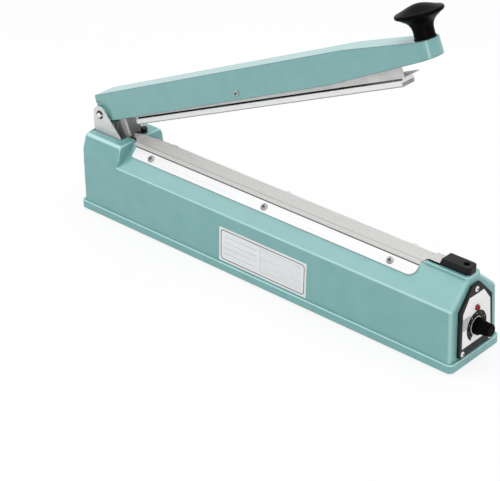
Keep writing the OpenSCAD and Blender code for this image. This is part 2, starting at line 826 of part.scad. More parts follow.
function ring(p, d, r) = let (t = unit(d), a = unit(cross(t, [0.02, 1, 0.03])), b = cross(t, a))
    [for (k = [0 : 5]) p + r * (a * cos(60 * k) + b * sin(60 * k))];
function run_dir(p, i) = unit(p[min(i + 1, len(p) - 1)] - p[max(i - 1, 0)]);

module tube(p, r) {
    n = len(p);
    pts = [for (i = [0 : n - 1]) each ring(p[i], run_dir(p, i), r)];
    walls = [for (i = [0 : n - 2]) for (k = [0 : 5])
        let (a = 6 * i + k, b = 6 * i + (k + 1) % 6)
        each [[a, b, b + 6], [a, b + 6, a + 6]]];
    ends = [for (k = [1 : 4]) each [[0, k + 1, k], [6 * n - 6, 6 * n - 6 + k, 6 * n - 5 + k]]];
    polyhedron(pts, concat(walls, ends), convexity = 8);
}

module return_spring() {
    color([0.6, 0.6, 0.6]) place() translate([pivot_x, 0, pivot_z]) tube(spring_path, wire_d / 2);
}

switch_z0 = plunger_z - switch_h / 2;
switch_y = switch_w / 2;
switch_tabs = [[switch_y + 8, plunger_z - 5], [switch_y + 8, plunger_z + 5]];

module micro_switch() {
    color([0.12, 0.12, 0.13]) place() difference() {
        translate([switch_x1 - switch_d, -switch_y, switch_z0]) cube([switch_d, switch_w, switch_h]);
        translate([switch_x1 - 4.5, 0, plunger_z]) rotate([0, 90, 0])
            cylinder(h = 10, r = plunger_r + fit_gap);
        at_switch_bolts() cylinder(h = 30, r = switch_bolt_r + fit_gap, center = true);
    }
}

module at_switch_bolts() {
    for (b = switch_bolts) {
        translate([switch_x1 - switch_d / 2 - 1.5, 0, plunger_z + b]) rotate([90, 0, 0]) children();
    }
}

module switch_plunger() {
    l = plunger_out + 2.8;
    color([0.75, 0.2, 0.15]) place() translate([plunger_tip - l, 0, plunger_z]) rotate([0, 90, 0])
        cylinder(h = l, r = plunger_r);
}

module switch_bracket() {
    color([0.78, 0.78, 0.78]) place() difference() {
        union() {
            translate([web_x, switch_y, switch_z0]) cube([switch_x1 - web_x - 1, tab_t, switch_h]);
            translate([web_x, switch_y, switch_z0]) cube([tab_t, 12, switch_h]);
        }
        at_switch_bolts() cylinder(h = 30, r = switch_bolt_r + fit_gap, center = true);
        for (b = switch_tabs) {
            translate([web_x - 1, b[0], b[1]]) rotate([0, 90, 0])
                cylinder(h = 4, r = tab_bolt_r + fit_gap);
        }
    }
}

module switch_screws() {
    color([0.75, 0.75, 0.76]) place() {
        translate([0, -switch_y, 0]) at_switch_bolts() cross_screw(2, 1.3, switch_bolt_r, switch_w + 3);
        for (b = switch_tabs) {
            translate([web_x + tab_t, b[0], b[1]]) rotate([0, 90, 0])
                cross_screw(2.6, 1.5, tab_bolt_r, tab_t + plate_t);
        }
    }
}

core_l = 66;
core_d = 32;
core_h = 55;
core_leg = 11;
frame_t = 1.5;
core_z = ledge_z + frame_t;
core_bolt = core_l / 2 + 9;
core_bolt_r = 1.7;

module at_core_bolts() {
    for (i = [-1, 1]) {
        translate([coil_x + i * core_bolt, 0, 0]) children();
    }
}

module transformer_core() {
    color([0.28, 0.28, 0.3]) place() translate([coil_x, 0, core_z]) difference() {
        translate([-core_l / 2, -core_d / 2, 0]) cube([core_l, core_d, core_h]);
        for (i = [-1, 1]) {
            translate([i * 1.5 * core_leg, 0, core_h / 2])
                cube([core_leg, core_d + 2, core_h - 2 * core_leg], center = true);
        }
    }
}

module transformer_coil() {
    color([0.7, 0.45, 0.2]) place() translate([coil_x, 0, core_z + core_h / 2]) difference() {
        cube([4 * core_leg - 0.6, core_d + 20, core_h - 2 * core_leg - 0.4], center = true);
        cube([2 * core_leg, core_d, core_h], center = true);
    }
}

module transformer_frame() {
    color([0.7, 0.7, 0.7]) place() difference() {
        union() {
            translate([coil_x - core_bolt - 6, -core_d / 2 + 6, ledge_z])
                cube([2 * core_bolt + 12, core_d - 12, frame_t]);
            for (i = [-1, 1]) {
                translate([coil_x + i * (core_l / 2 + frame_t / 2), 0, ledge_z + core_h / 2 + frame_t])
                    cube([frame_t, core_d - 12, core_h], center = true);
            }
        }
        at_core_bolts() cylinder(h = 20, r = core_bolt_r + fit_gap, center = true);
    }
}

module transformer_screws() {
    color([0.75, 0.75, 0.76]) place() at_core_bolts() translate([0, 0, ledge_z + frame_t])
        cross_screw(3.2, 1.8, core_bolt_r, frame_t + cover_t - 0.1);
}

board_l = 62;
board_w = 46;
board_z = 10;
board_t = 1.6;
peg_r = 1.15;

module at_board_bolts() {
    for (i = [-1, 1]) {
        for (j = [-1, 1]) {
            translate([board_x + i * (board_l / 2 - 5), j * (board_w / 2 - 5), 0]) children();
        }
    }
}

module timer_board() {
    color([0.12, 0.35, 0.2]) place() difference() {
        translate([board_x - board_l / 2, -board_w / 2, board_z]) cube([board_l, board_w, board_t]);
        at_board_bolts() cylinder(h = 40, r = peg_r + fit_gap, center = true);
    }
}

module board_standoffs() {
    color([0.85, 0.85, 0.8]) place() at_board_bolts() {
        translate([0, 0, ledge_z]) cylinder(h = board_z - ledge_z, r = 3);
        translate([0, 0, board_z]) cylinder(h = board_t, r = peg_r);
        translate([0, 0, board_z + board_t]) cylinder(h = 1.5, r = 2.4);
        translate([0, 0, ledge_z - cover_t]) cylinder(h = cover_t, r = peg_r);
    }
}

module board_parts() {
    top = board_z + board_t;
    color([0.15, 0.2, 0.45]) place() {
        translate([board_x - 18, -8, top]) cube([20, 16, 16]);
        translate([board_x + 12, 10, top]) cylinder(h = 14, r = 5);
        translate([board_x + 12, -10, top]) cylinder(h = 11, r = 4);
        translate([board_x + 20, -5, top]) cube([7, 10, 4]);
    }
}

module timer_potentiometer() {
    color([0.5, 0.5, 0.52]) place() on_right_end() on_end(in_right - pot_d, 0, timer_h) difference() {
        union() {
            cylinder(h = pot_d, r = pot_r);
            cylinder(h = half_l - in_right + pot_d + 2.6, r = neck_r);
        }
        translate([0, 0, 2]) cylinder(h = 40, r = shaft_r + fit_gap);
    }
}

module potentiometer_nut() {
    color([0.8, 0.8, 0.8]) place() on_right_end() on_end(half_l, 0, timer_h) difference() {
        hex(nut_r, 2);
        translate([0, 0, -1]) cylinder(h = 4, r = neck_r + 0.02);
    }
}

module timer_shaft() {
    color([0.85, 0.85, 0.85]) place() on_right_end() on_end(in_right - pot_d + 2.5, 0, timer_h)
        cylinder(h = half_l + timer_l - 3.5 - in_right + pot_d - 2.5, r = shaft_r);
}

module timer_knob() {
    base = 0.8;
    skirt_h = 3.6;
    tip_h = 1;
    grip_r = timer_r - 1.5;
    tip_r = timer_tip_r;
    h = timer_l - base;
    grip_h = h - skirt_h - tip_h;
    flute_r = 0.9;
    flute_lean = atan((grip_r - tip_r) / grip_h);
    color([0.06, 0.06, 0.06]) place() on_right_end() on_end(half_l + base, 0, timer_h) difference() {
        union() {
            cylinder(h = skirt_h, r = timer_r);
            translate([0, 0, skirt_h]) cylinder(h = grip_h, r1 = grip_r, r2 = tip_r);
            translate([0, 0, h - tip_h]) cylinder(h = tip_h, r1 = tip_r, r2 = tip_r - tip_edge);
        }
        for (a = [0 : 20 : 340]) {
            rotate([0, 0, a]) translate([grip_r + flute_r / 2, 0, skirt_h + 0.5])
                rotate([0, -flute_lean, 0]) cylinder(h = h, r = flute_r);
        }
        translate([0, 0, -1]) cylinder(h = h - 1.7, r = shaft_r);
        translate([0, 0, -1]) cylinder(h = 3.3, r = nut_r + 0.7);
    }
}

module panel_outline() {
    top_half = panel_half - panel_in;
    polygon([[-panel_half, panel_low], [panel_half, panel_low], [top_half, wall_h - 5],
        [panel_top_half, panel_top], [-panel_top_half, panel_top], [-top_half, wall_h - 5]]);
}

module control_panel() {
    color([0.18, 0.17, 0.18]) place() on_right_end() difference() {
        along_x(right_x, half_l) panel_outline();
        on_end(right_x - 1, 0, timer_h) cylinder(h = panel_t + 2, r = neck_r + fit_gap);
        on_end(right_x - 1, 0, lamp_h) cylinder(h = panel_t + 2, r = lamp_r + fit_gap);
        for (b = panel_bolts) {
            on_end(right_x - 1, b[0], b[1]) cylinder(h = panel_t + 2, r = panel_bolt_r + fit_gap);
        }
    }
}

module panel_label() {
    w = label_half;
    top_w = w - panel_in;
    color([0.9, 0.9, 0.9]) place() on_right_end() difference() {
        along_x(half_l, half_l + label_t) polygon([[-w, label_low], [w, label_low], [top_w, wall_h - 8.5],
            [w / 2, label_top], [-w / 2, label_top], [-top_w, wall_h - 8.5]]);
        on_end(half_l - 1, 0, timer_h) cylinder(h = 3, r = nut_r + 0.6);
        on_end(half_l - 1, 0, lamp_h) cylinder(h = 3, r = lamp_r + fit_gap);
    }
}

module panel_screws() {
    color([0.3, 0.3, 0.31]) place() on_right_end() for (b = panel_bolts) {
        on_end(half_l, b[0], b[1]) cross_screw(3, 1.4, panel_bolt_r, panel_t + wall_t + 1.5);
    }
}

module indicator_lamp() {
    color([0.7, 0.12, 0.16]) place() on_right_end() on_end(in_right - 8, 0, lamp_h) {
        cylinder(h = half_l + 0.8 - in_right + 8, r = lamp_r);
        translate([0, 0, half_l + 0.8 - in_right + 8]) intersection() {
            sphere(lamp_r);
            cylinder(h = lamp_r + 1, r = lamp_r + 1);
        }
    }
}

module cord_bush() {
    color([0.07, 0.07, 0.07]) place() on_back_wall(bush_x, bush_z) difference() {
        union() {
            translate([0, 0, -wall_t - 2]) cylinder(h = wall_t + 2, r = cord_bush_r);
            cylinder(h = 1.5, r = cord_bush_r + 2.5);
        }
        translate([0, 0, -wall_t - 3]) cylinder(h = wall_t + 6, r = 3.5);
    }
}

label_l = 128;
label_h = 42.5;

module rating_label() {
    color([0.85, 0.86, 0.87]) place() mirror([0, 1, 0]) on_back_wall(14, 32.8)
        translate([0, 0, 0.11]) cube([label_l, label_h, 0.2], center = true);
}

end_slant = 2.8;
low_end = nose_x + 40;

module arm_side() {
    polygon(concat([[-3.6, arm_top], [bend_x, arm_top],
        [low_end, arm_top - (low_end - bend_x) * tan(nose_deg)],
        [low_end, -arm_low + (low_end - low_bend_x) * tan(nose_deg)], [low_bend_x, -arm_low],
        [4, -arm_low]],
        arc([0, 0], lug_r, 280, 145, 12), [[-3.6 - end_slant, 9.4]]));
}

module arm_hollow_side() {
    polygon([[-1.2, arm_top - arm_t], [bend_x, arm_top - arm_t],
        [low_end + 2, arm_top - arm_t - (low_end + 2 - bend_x) * tan(nose_deg)], [low_end + 2, -40],
        [-20, -40], [-20, 8.6], [-2.6, 8.6]]);
}

module arm_plan(w) {
    translate([-30, -w]) square([nose_x + 30, 2 * w]);
    translate([nose_x, 0]) circle(w);
}

module arm() {
    color([0.51, 0.7, 0.71]) on_arm() difference() {
        intersection() {
            across(-arm_half, arm_half) arm_side();
            translate([0, 0, -50]) linear_extrude(100) arm_plan(arm_half);
        }
        intersection() {
            across(-arm_half, arm_half) arm_hollow_side();
            translate([0, 0, -50]) linear_extrude(100) arm_plan(arm_half - arm_t);
        }
        for (s = [-1, 1]) {
            translate([0, s * (arm_half + 4 - lug_cut), 0]) rotate([90, 0, 0])
                cylinder(h = 8, r = lug_cut_r, center = true);
        }
        rotate([90, 0, 0]) cylinder(h = 60, r = bush_r + 0.02, center = true);
        translate([rock_at, 0, rock_z]) rotate([90, 0, 0])
            cylinder(h = 60, r = rock_r + 0.02, center = true);
        on_nose() cylinder(h = 20, r = bolt_r + fit_gap, center = true);
        for (x = striker_screws) {
            for (s = [-1, 1]) {
                translate([x, s * striker_bolt_y, arm_top - arm_t - 1])
                    cylinder(h = 2.6, r = striker_bolt_r + fit_gap);
            }
        }
    }
}

// Knob seat: on the nose's top, square to it
module on_nose() {
    translate([knob_x, 0, nose_top]) rotate([0, nose_deg, 0]) children();
}

module hinge_bushes() {
    color([0.9, 0.88, 0.8]) on_arm() for (s = [-1, 1]) {
        rotate([s * 90, 0, 0]) difference() {
            union() {
                translate([0, 0, arm_half - arm_t]) cylinder(h = arm_t, r = bush_r);
                translate([0, 0, arm_half - lug_cut])
                    cylinder(h = cheek_in - 0.1 - arm_half + lug_cut, r = bush_flange_r);
            }
            cylinder(h = 40, r = pin_r + fit_gap);
        }
    }
}

module striker_plate() {
    roof = arm_top - arm_t;
    color([0.72, 0.72, 0.73]) on_arm() difference() {
        union() {
            translate([striker_x0, -foot_half, roof - foot_t])
                cube([striker_foot - striker_x0, 2 * foot_half, foot_t]);
            translate([striker_x0, -striker_t / 2, -striker_low])
                cube([striker_w, striker_t, striker_low + roof]);
        }
        for (x = striker_screws) {
            for (s = [-1, 1]) {
                translate([x, s * striker_bolt_y, roof - 10])
                    cylinder(h = 20, r = striker_bolt_r + fit_gap);
            }
        }
    }
}

module striker_screws() {
    color([0.75, 0.75, 0.76]) on_arm() for (x = striker_screws) {
        for (s = [-1, 1]) {
            translate([x, s * striker_bolt_y, arm_top - arm_t - foot_t]) mirror([0, 0, 1])
                cross_screw(2.2, 1.4, striker_bolt_r, foot_t + 1.5);
        }
    }
}

module press_bar_pin() {
    color([0.8, 0.8, 0.8]) on_arm() translate([rock_at, -arm_half, rock_z]) rotate([90, 0, 0])
        cross_screw(3.6, 1.9, rock_r, 2 * arm_half + 3.4);
}

module press_bar_nut() {
    color([0.8, 0.8, 0.8]) on_arm() translate([rock_at, arm_half + 3, rock_z]) rotate([90, 0, 0])
        difference() {
        hex(4.6, 3);
        translate([0, 0, -1]) cylinder(h = 5, r = rock_r + 0.02);
    }
}

rim_h = cap_h - 9.5;
bead_r = 2.4;
neck_r0 = 11.4;
neck_r1 = 10.7;

// Height of the knob's dome at a share of its radius, flat towards the rim
function bell(out) = 0.55 * (1 - out * out) + 0.225 * (1 + cos(180 * out));

module arm_knob() {
    dome_r = cap_r - bead_r;
    bead_z = rim_h + 0.6;
    color([0.04, 0.04, 0.045]) on_arm() on_nose() rotate_extrude() polygon(concat(
        [[bolt_r + 0.02, 0], [neck_r0, 0], [neck_r0, 1.2], [neck_r1, 2.4], [neck_r1, 7]],
        arc([neck_r1 + 14, 8], 14, 180, 118, 8),
        arc([dome_r, bead_z], bead_r, -90, 90, 8),
        [for (i = [1 : 12]) let (out = 1 - i / 12)
            [dome_r * out, bead_z + bead_r + (cap_h - bead_z - bead_r) * bell(out)]],
        [[0, 22], [bolt_r + 0.02, 22]]));
}

module knob_bolt() {
    color([0.75, 0.75, 0.76]) on_arm() on_nose() {
        translate([0, 0, -arm_t / cos(nose_deg) - 4]) hex(5.4, 4);
        translate([0, 0, -arm_t / cos(nose_deg)]) cylinder(h = arm_t / cos(nose_deg) + 20, r = bolt_r);
    }
}

module press_bar_carrier() {
    l = carrier_x1 - rail_x0;
    color([0.66, 0.66, 0.64]) on_bar() difference() {
        translate([rail_x0, -carrier_half, -rail_top]) cube([l, 2 * carrier_half, rail_top + carrier_up]);
        translate([rail_x0 - 1, -carrier_half + carrier_t, -rail_top + carrier_t])
            cube([l + 2, 2 * (carrier_half - carrier_t), rail_top + carrier_up]);
        translate([carrier_x1 - carrier_heel, 0, -rail_top + carrier_t])
            cube([carrier_heel + 1, carrier_half + 1, rail_top + carrier_up]);
        translate([rock_at, 0, rock_z]) rotate([90, 0, 0])
            cylinder(h = 4 * carrier_half, r = rock_r + fit_gap, center = true);
        for (x = rail_screws) {
            translate([x, 0, -rail_top - 1]) cylinder(h = carrier_t + 2, r = rail_screw_r + fit_gap);
        }
    }
}

pad_in = 2.6;
rail_neck_half = rail_half - 3.5;
rail_lip = 0.8;

// One half of the rail's end view, its top at zero
function rail_half_outline() = [[rail_half - 1, 0], [rail_half - 1, -rail_lip], [rail_neck_half, -rail_lip],
    [rail_neck_half, -neck_h], [rail_half, -neck_h], [rail_half, -rail_h], [pad_half, -rail_h],
    [pad_half, -rail_h + pad_in]];

module press_bar_rail() {
    color([0.92, 0.92, 0.93]) on_bar() difference() {
        translate([0, 0, -rail_top]) along_x(rail_x0, rail_x1)
            polygon(concat(rail_half_outline(), flip(rail_half_outline())));
        for (x = rail_screws) {
            translate([x, 0, -rail_top - 4.5]) cylinder(h = 6, r = rail_screw_r + fit_gap);
        }
    }
}

module rail_screws() {
    color([0.75, 0.75, 0.76]) on_bar() for (x = rail_screws) {
        translate([x, 0, -rail_top + carrier_t]) cross_screw(3.4, 1.7, rail_screw_r, carrier_t + 4.2);
    }
}

module silicone_strip() {
    color([0.45, 0.45, 0.46]) on_bar() translate([rail_x0, -pad_half, -rail_top - rail_h - pad_out])
        cube([rail_x1 - rail_x0, 2 * pad_half, pad_out + pad_in]);
}

housing();
bottom_cover();
cover_screws();
rubber_feet();
foot_screws();
heater_bar();
insulation_strip();
heating_element();
release_cloth();
front_clamp_strip();
rear_clamp_strip();
clamp_strip_screws();
right_end_block();
end_block_screw();
left_end_block();
element_terminals();
terminal_screws();
hinge_bracket();
bracket_screws();
hinge_pin();
hinge_pin_clips();
return_spring();
micro_switch();
switch_bracket();
switch_screws();
switch_plunger();
transformer_core();
transformer_coil();
transformer_frame();
transformer_screws();
timer_board();
board_standoffs();
board_parts();
timer_potentiometer();
potentiometer_nut();
control_panel();
panel_label();
panel_screws();
indicator_lamp();
cord_bush();
rating_label();
timer_knob();
timer_shaft();
arm();
hinge_bushes();
striker_plate();
striker_screws();
press_bar_pin();
press_bar_nut();
arm_knob();
knob_bolt();
press_bar_carrier();
press_bar_rail();
rail_screws();
silicone_strip();
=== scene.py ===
import json
import math

import bmesh
import bpy
from mathutils import Matrix, Vector
from mathutils.bvhtree import BVHTree


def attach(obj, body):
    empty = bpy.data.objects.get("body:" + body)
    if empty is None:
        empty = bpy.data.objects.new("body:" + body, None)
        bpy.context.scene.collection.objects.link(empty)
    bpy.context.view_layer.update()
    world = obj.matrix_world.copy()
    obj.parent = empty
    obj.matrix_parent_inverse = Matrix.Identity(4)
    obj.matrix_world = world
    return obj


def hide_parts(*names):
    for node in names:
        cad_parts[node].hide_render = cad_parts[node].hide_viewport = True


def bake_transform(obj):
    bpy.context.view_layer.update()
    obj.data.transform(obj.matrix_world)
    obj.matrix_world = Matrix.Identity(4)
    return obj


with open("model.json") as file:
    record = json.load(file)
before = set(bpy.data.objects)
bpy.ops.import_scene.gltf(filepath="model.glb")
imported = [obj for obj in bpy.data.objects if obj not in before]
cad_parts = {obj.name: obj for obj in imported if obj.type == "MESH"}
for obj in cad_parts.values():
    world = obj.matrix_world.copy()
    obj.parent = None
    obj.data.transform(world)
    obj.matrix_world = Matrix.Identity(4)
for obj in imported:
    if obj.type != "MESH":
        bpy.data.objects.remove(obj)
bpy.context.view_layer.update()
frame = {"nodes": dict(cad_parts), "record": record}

bpy.context.scene.view_settings.view_transform = "Standard"

MM = 0.001
# The housing's own frame stands this far from the part's frame
SHIFT = Vector((-9.0, 0.0, 2.0)) * MM

# Shading: the angle that stays smooth, the least bend kept crisp, the least breadth of a broad face
SMOOTH_ANGLE = math.radians(38.0)
LEAST_CREASE = math.radians(2.0)
BROAD = 1.7 * MM
# Cleaning of a node's mesh: points nearer than this are one, faces that turn less than this are one
WELD = 0.004 * MM
FLAT = math.radians(0.4)
# Rounding: the least turn of a rounded edge, and where the look out from it starts and ends
LEAST_TURN = math.radians(31.0)
LOOK_FROM, LOOK_TO = 0.02, 300.0 * MM
# Painted edge tone on a rounded edge (a painted highlight on the housing, a painted shade line on the
# arm): up to this radius it is fully marked, and larger ones fade with this power
FULL_MARK, MARK_FADE = 1.8, 1.2


# Selecting and shaping

def leave_all():
    """Back to object mode with nothing selected."""
    if bpy.context.object and bpy.context.object.mode != "OBJECT":
        bpy.ops.object.mode_set(mode="OBJECT")
    bpy.ops.object.select_all(action="DESELECT")


def pick(piece):
    leave_all()
    piece.select_set(True)
    bpy.context.view_layer.objects.active = piece


def settle(piece, place):
    """Puts the piece's place into its mesh and leaves the object at the origin."""
    piece.data.transform(place @ piece.matrix_world)
    piece.matrix_world = Matrix.Identity(4)
    piece.data.update()


def apply_all(piece):
    pick(piece)
    for name in [m.name for m in piece.modifiers]:
        bpy.ops.object.modifier_apply(modifier=name)


def breadth(face):
    """Width of a face across its longest side."""
    return face.calc_area() / max(1e-9, max(edge.calc_length() for edge in face.edges))


def crease_flats(mesh):
    """Keeps the shallow bends between broad faces crisp."""
    shape = bmesh.new()
    shape.from_mesh(mesh)
    for edge in shape.edges:
        if len(edge.link_faces) == 2 and edge.calc_face_angle(0.0) > LEAST_CREASE:
            if all(breadth(face) > BROAD for face in edge.link_faces):
                edge.smooth = False
    shape.to_mesh(mesh)
    shape.free()


def even_shading(piece):
    """Smooth over rounded edges, with the flat faces left flat."""
    pick(piece)
    bpy.ops.object.shade_smooth_by_angle(angle=SMOOTH_ANGLE)
    crease_flats(piece.data)
    even = piece.modifiers.new("even", "WEIGHTED_NORMAL")
    even.keep_sharp = True
    even.weight = 80
    apply_all(piece)


def join(pieces, name):
    leave_all()
    for piece in pieces:
        piece.select_set(True)
    bpy.context.view_layer.objects.active = pieces[0]
    bpy.ops.object.join()
    piece = bpy.context.object
    piece.name = name
    return piece


def dress(piece, finish):
    piece.data.materials.clear()
    piece.data.materials.append(finish)


def coat_node(finish, *nodes):
    """Shows the nodes of the frame as they are, in the finish."""
    for node in nodes:
        for slot in frame["nodes"][node].material_slots:
            slot.link = "OBJECT"
            slot.material = finish


def body_of(node):
    for body, nodes in frame["record"]["behaviour"]["bodies"].items():
        if node in nodes:
            return body


def copy_of(node, name):
    """A copy of the node with its flat faces made whole, in edit mode with nothing selected."""
    piece = bpy.data.objects.new(name, frame["nodes"][node].data.copy())
    bpy.context.collection.objects.link(piece)
    pick(piece)
    bpy.ops.mesh.customdata_custom_splitnormals_clear()
    bpy.ops.object.mode_set(mode="EDIT")
    bpy.ops.mesh.select_all(action="SELECT")
    bpy.ops.mesh.remove_doubles(threshold=WELD)
    bpy.ops.mesh.dissolve_limited(angle_limit=FLAT)
    bpy.ops.mesh.select_all(action="DESELECT")
    return piece


def pick_open_edges(mesh, wanted):
    """Selects the sharp edges that look out of the piece and that wanted takes."""
    shape = bmesh.from_edit_mesh(mesh)
    shape.normal_update()
    tree = BVHTree.FromBMesh(shape)
    found = 0
    for edge in shape.edges:
        edge.select_set(False)
    for edge in shape.edges:
        if len(edge.link_faces) != 2 or edge.calc_face_angle(0.0) < LEAST_TURN:
            continue
        out = (edge.link_faces[0].normal + edge.link_faces[1].normal).normalized()
        middle = (edge.verts[0].co + edge.verts[1].co) / 2
        if not wanted((middle - SHIFT) / MM, edge.is_convex):
            continue
        if tree.ray_cast(middle + out * LOOK_FROM * MM, out, LOOK_TO)[0] is None:
            edge.select_set(True)
            found += 1
    bmesh.update_edit_mesh(mesh)
    return found


def mark_rounding(mesh, radius):
    """Notes the points that lie inside a rounded edge, for the painted highlight and shade line of the
    paint.
    """
    shape = bmesh.from_edit_mesh(mesh)
    layer = shape.verts.layers.float.get("edge") or shape.verts.layers.float.new("edge")
    mark = min(1.0, (FULL_MARK / radius) ** MARK_FADE)
    narrow = 0.9 * radius * MM
    for vert in shape.verts:
        if vert.link_faces and all(face.select and breadth(face) < narrow for face in vert.link_faces):
            vert[layer] = max(vert[layer], mark)
    bmesh.update_edit_mesh(mesh)


def rounded(node, finish, *passes):
    """The node with its open edges rounded.

    Each pass has a radius, its steps and the edges that it takes.
    """
    piece = copy_of(node, node + "_rounded")
    for radius, steps, wanted in passes:
        if pick_open_edges(piece.data, wanted):
            bpy.ops.mesh.bevel(offset=radius * MM, segments=steps, profile=0.5, clamp_overlap=False)
            mark_rounding(piece.data, radius)
    bpy.ops.object.mode_set(mode="OBJECT")
    dress(piece, finish)
    even_shading(piece)
    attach(piece, body_of(node))
    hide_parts(node)
    return piece


def ridges(middle, convex):
    """Every edge that stands out, wherever its middle is."""
    return convex


# Finishes

def start_finish(name):
    finish = bpy.data.materials.new(name)
    finish.use_nodes = True
    tree = finish.node_tree
    where = tree.nodes.new("ShaderNodeTexCoord")
    return finish, tree, tree.nodes["Principled BSDF"], where


def stretch(tree, where, scale):
    """The place, drawn out along the axes where the scale is small."""
    mapping = tree.nodes.new("ShaderNodeMapping")
    mapping.inputs["Scale"].default_value = scale
    tree.links.new(where, mapping.inputs["Vector"])
    return mapping.outputs["Vector"]


def grain(tree, where, scale, detail=3.0):
    noise = tree.nodes.new("ShaderNodeTexNoise")
    noise.inputs["Scale"].default_value = scale
    noise.inputs["Detail"].default_value = detail
    noise.inputs["Roughness"].default_value = 0.55
    tree.links.new(where, noise.inputs["Vector"])
    return noise.outputs["Fac"]


def spread(tree, value, low, high, start=0.3, end=0.7):
    """The value, taken from start and end to low and high."""
    ranged = tree.nodes.new("ShaderNodeMapRange")
    ranged.inputs["From Min"].default_value = start
    ranged.inputs["From Max"].default_value = end
    ranged.inputs["To Min"].default_value = low
    ranged.inputs["To Max"].default_value = high
    tree.links.new(value, ranged.inputs["Value"])
    return ranged.outputs["Result"]


def between(tree, share, first, second):
    """A mix of two colours, each given by its numbers or by a socket."""
    mix = tree.nodes.new("ShaderNodeMix")
    mix.data_type = "RGBA"
    for socket, colour in ((mix.inputs[6], first), (mix.inputs[7], second)):
        if isinstance(colour, bpy.types.NodeSocket):
            tree.links.new(colour, socket)
        else:
            socket.default_value = (*colour, 1.0)
    tree.links.new(share, mix.inputs[0])
    return mix.outputs[2]


def relief(tree, shader, height, depth, strength):
    bump = tree.nodes.new("ShaderNodeBump")
    bump.inputs["Strength"].default_value = strength
    bump.inputs["Distance"].default_value = depth * MM
    tree.links.new(height, bump.inputs["Height"])
    tree.links.new(bump.outputs["Normal"], shader.inputs["Normal"])


def named(tree, name):
    """The mesh's own value of that name."""
    attribute = tree.nodes.new("ShaderNodeAttribute")
    attribute.attribute_name = name
    return attribute.outputs["Fac"]


def shades(tree, where, dark, light, scale, detail=3.0):
    """Clouds between a dark and a light colour."""
    share = spread(tree, grain(tree, where, scale, detail), 0.0, 1.0)
    return between(tree, share, dark, light)


def teal_paint(name, painted_edge_tone, gloss):
    """Flecked paint with a painted edge tone on the rounded edges: a painted highlight where it is
    lighter, a painted shade line where it is darker.
    """
    finish, tree, shader, where = start_finish(name)
    place = where.outputs["Object"]
    body = shades(tree, place, (0.166, 0.388, 0.382), (0.188, 0.420, 0.414), 45.0)
    fleck = spread(tree, grain(tree, place, 2600.0, 1.0), 0.0, 0.35, 0.5, 0.72)
    flecked = between(tree, fleck, body, (0.27, 0.52, 0.515))
    thin = spread(tree, named(tree, "edge"), 0.0, 0.8, 0.0, 1.0)
    # The rounded edges get the painted edge tone instead of the paint's own colour
    colour = between(tree, thin, flecked, painted_edge_tone)
    tree.links.new(colour, shader.inputs["Base Color"])
    tree.links.new(spread(tree, grain(tree, place, 240.0), 0.30, 0.40), shader.inputs["Roughness"])
    relief(tree, shader, grain(tree, place, 520.0, 2.0), 0.05, 0.35)
    shader.inputs["Coat Weight"].default_value = gloss
    shader.inputs["Coat Roughness"].default_value = 0.14
    return finish


def metal(name, dark, light, rough, lines=(1.0, 1.0, 1.0), fine=900.0, shine=1.0):
    """Metal with a grain that runs where lines is small."""
    finish, tree, shader, where = start_finish(name)
    place = stretch(tree, where.outputs["Object"], lines)
    tree.links.new(shades(tree, place, dark, light, fine * 0.35), shader.inputs["Base Color"])
    tree.links.new(spread(tree, grain(tree, place, fine), *rough), shader.inputs["Roughness"])
    relief(tree, shader, grain(tree, place, fine * 1.4, 2.0), 0.02, 0.4)
    shader.inputs["Metallic"].default_value = shine
    return finish


def moulded(name, dark, light, rough, fine=1500.0, depth=0.03, strength=0.4, mirror=0.5):
    """Moulded plastic or rubber with a fine spark-eroded surface."""
    finish, tree, shader, where = start_finish(name)
    place = where.outputs["Object"]
    tree.links.new(shades(tree, place, dark, light, 70.0), shader.inputs["Base Color"])
    tree.links.new(spread(tree, grain(tree, place, 180.0), *rough), shader.inputs["Roughness"])
    relief(tree, shader, grain(tree, place, fine, 2.0), depth, strength)
    shader.inputs["Specular IOR Level"].default_value = mirror
    return finish


def ink(name, dark, light, mirror=0.5):
    return moulded(name, dark, light, (0.4, 0.55), fine=900.0, depth=0.01, mirror=mirror)


def stripes(tree, where, scale, direction):
    wave = tree.nodes.new("ShaderNodeTexWave")
    wave.bands_direction = direction
    wave.inputs["Scale"].default_value = scale
    wave.inputs["Distortion"].default_value = 0.4
    wave.inputs["Detail"].default_value = 1.0
    tree.links.new(where, wave.inputs["Vector"])
    return wave.outputs["Fac"]


def layered(name, dark, light, scale, direction, shine, rough):
    """Sheets or turns that lie beside each other."""
    finish, tree, shader, where = start_finish(name)
    place = where.outputs["Object"]
    lines = stripes(tree, place, scale, direction)
    tree.links.new(between(tree, lines, dark, light), shader.inputs["Base Color"])
    tree.links.new(spread(tree, grain(tree, place, 300.0), *rough), shader.inputs["Roughness"])
    relief(tree, shader, lines, 0.15, 0.6)
    shader.inputs["Metallic"].default_value = shine
    return finish


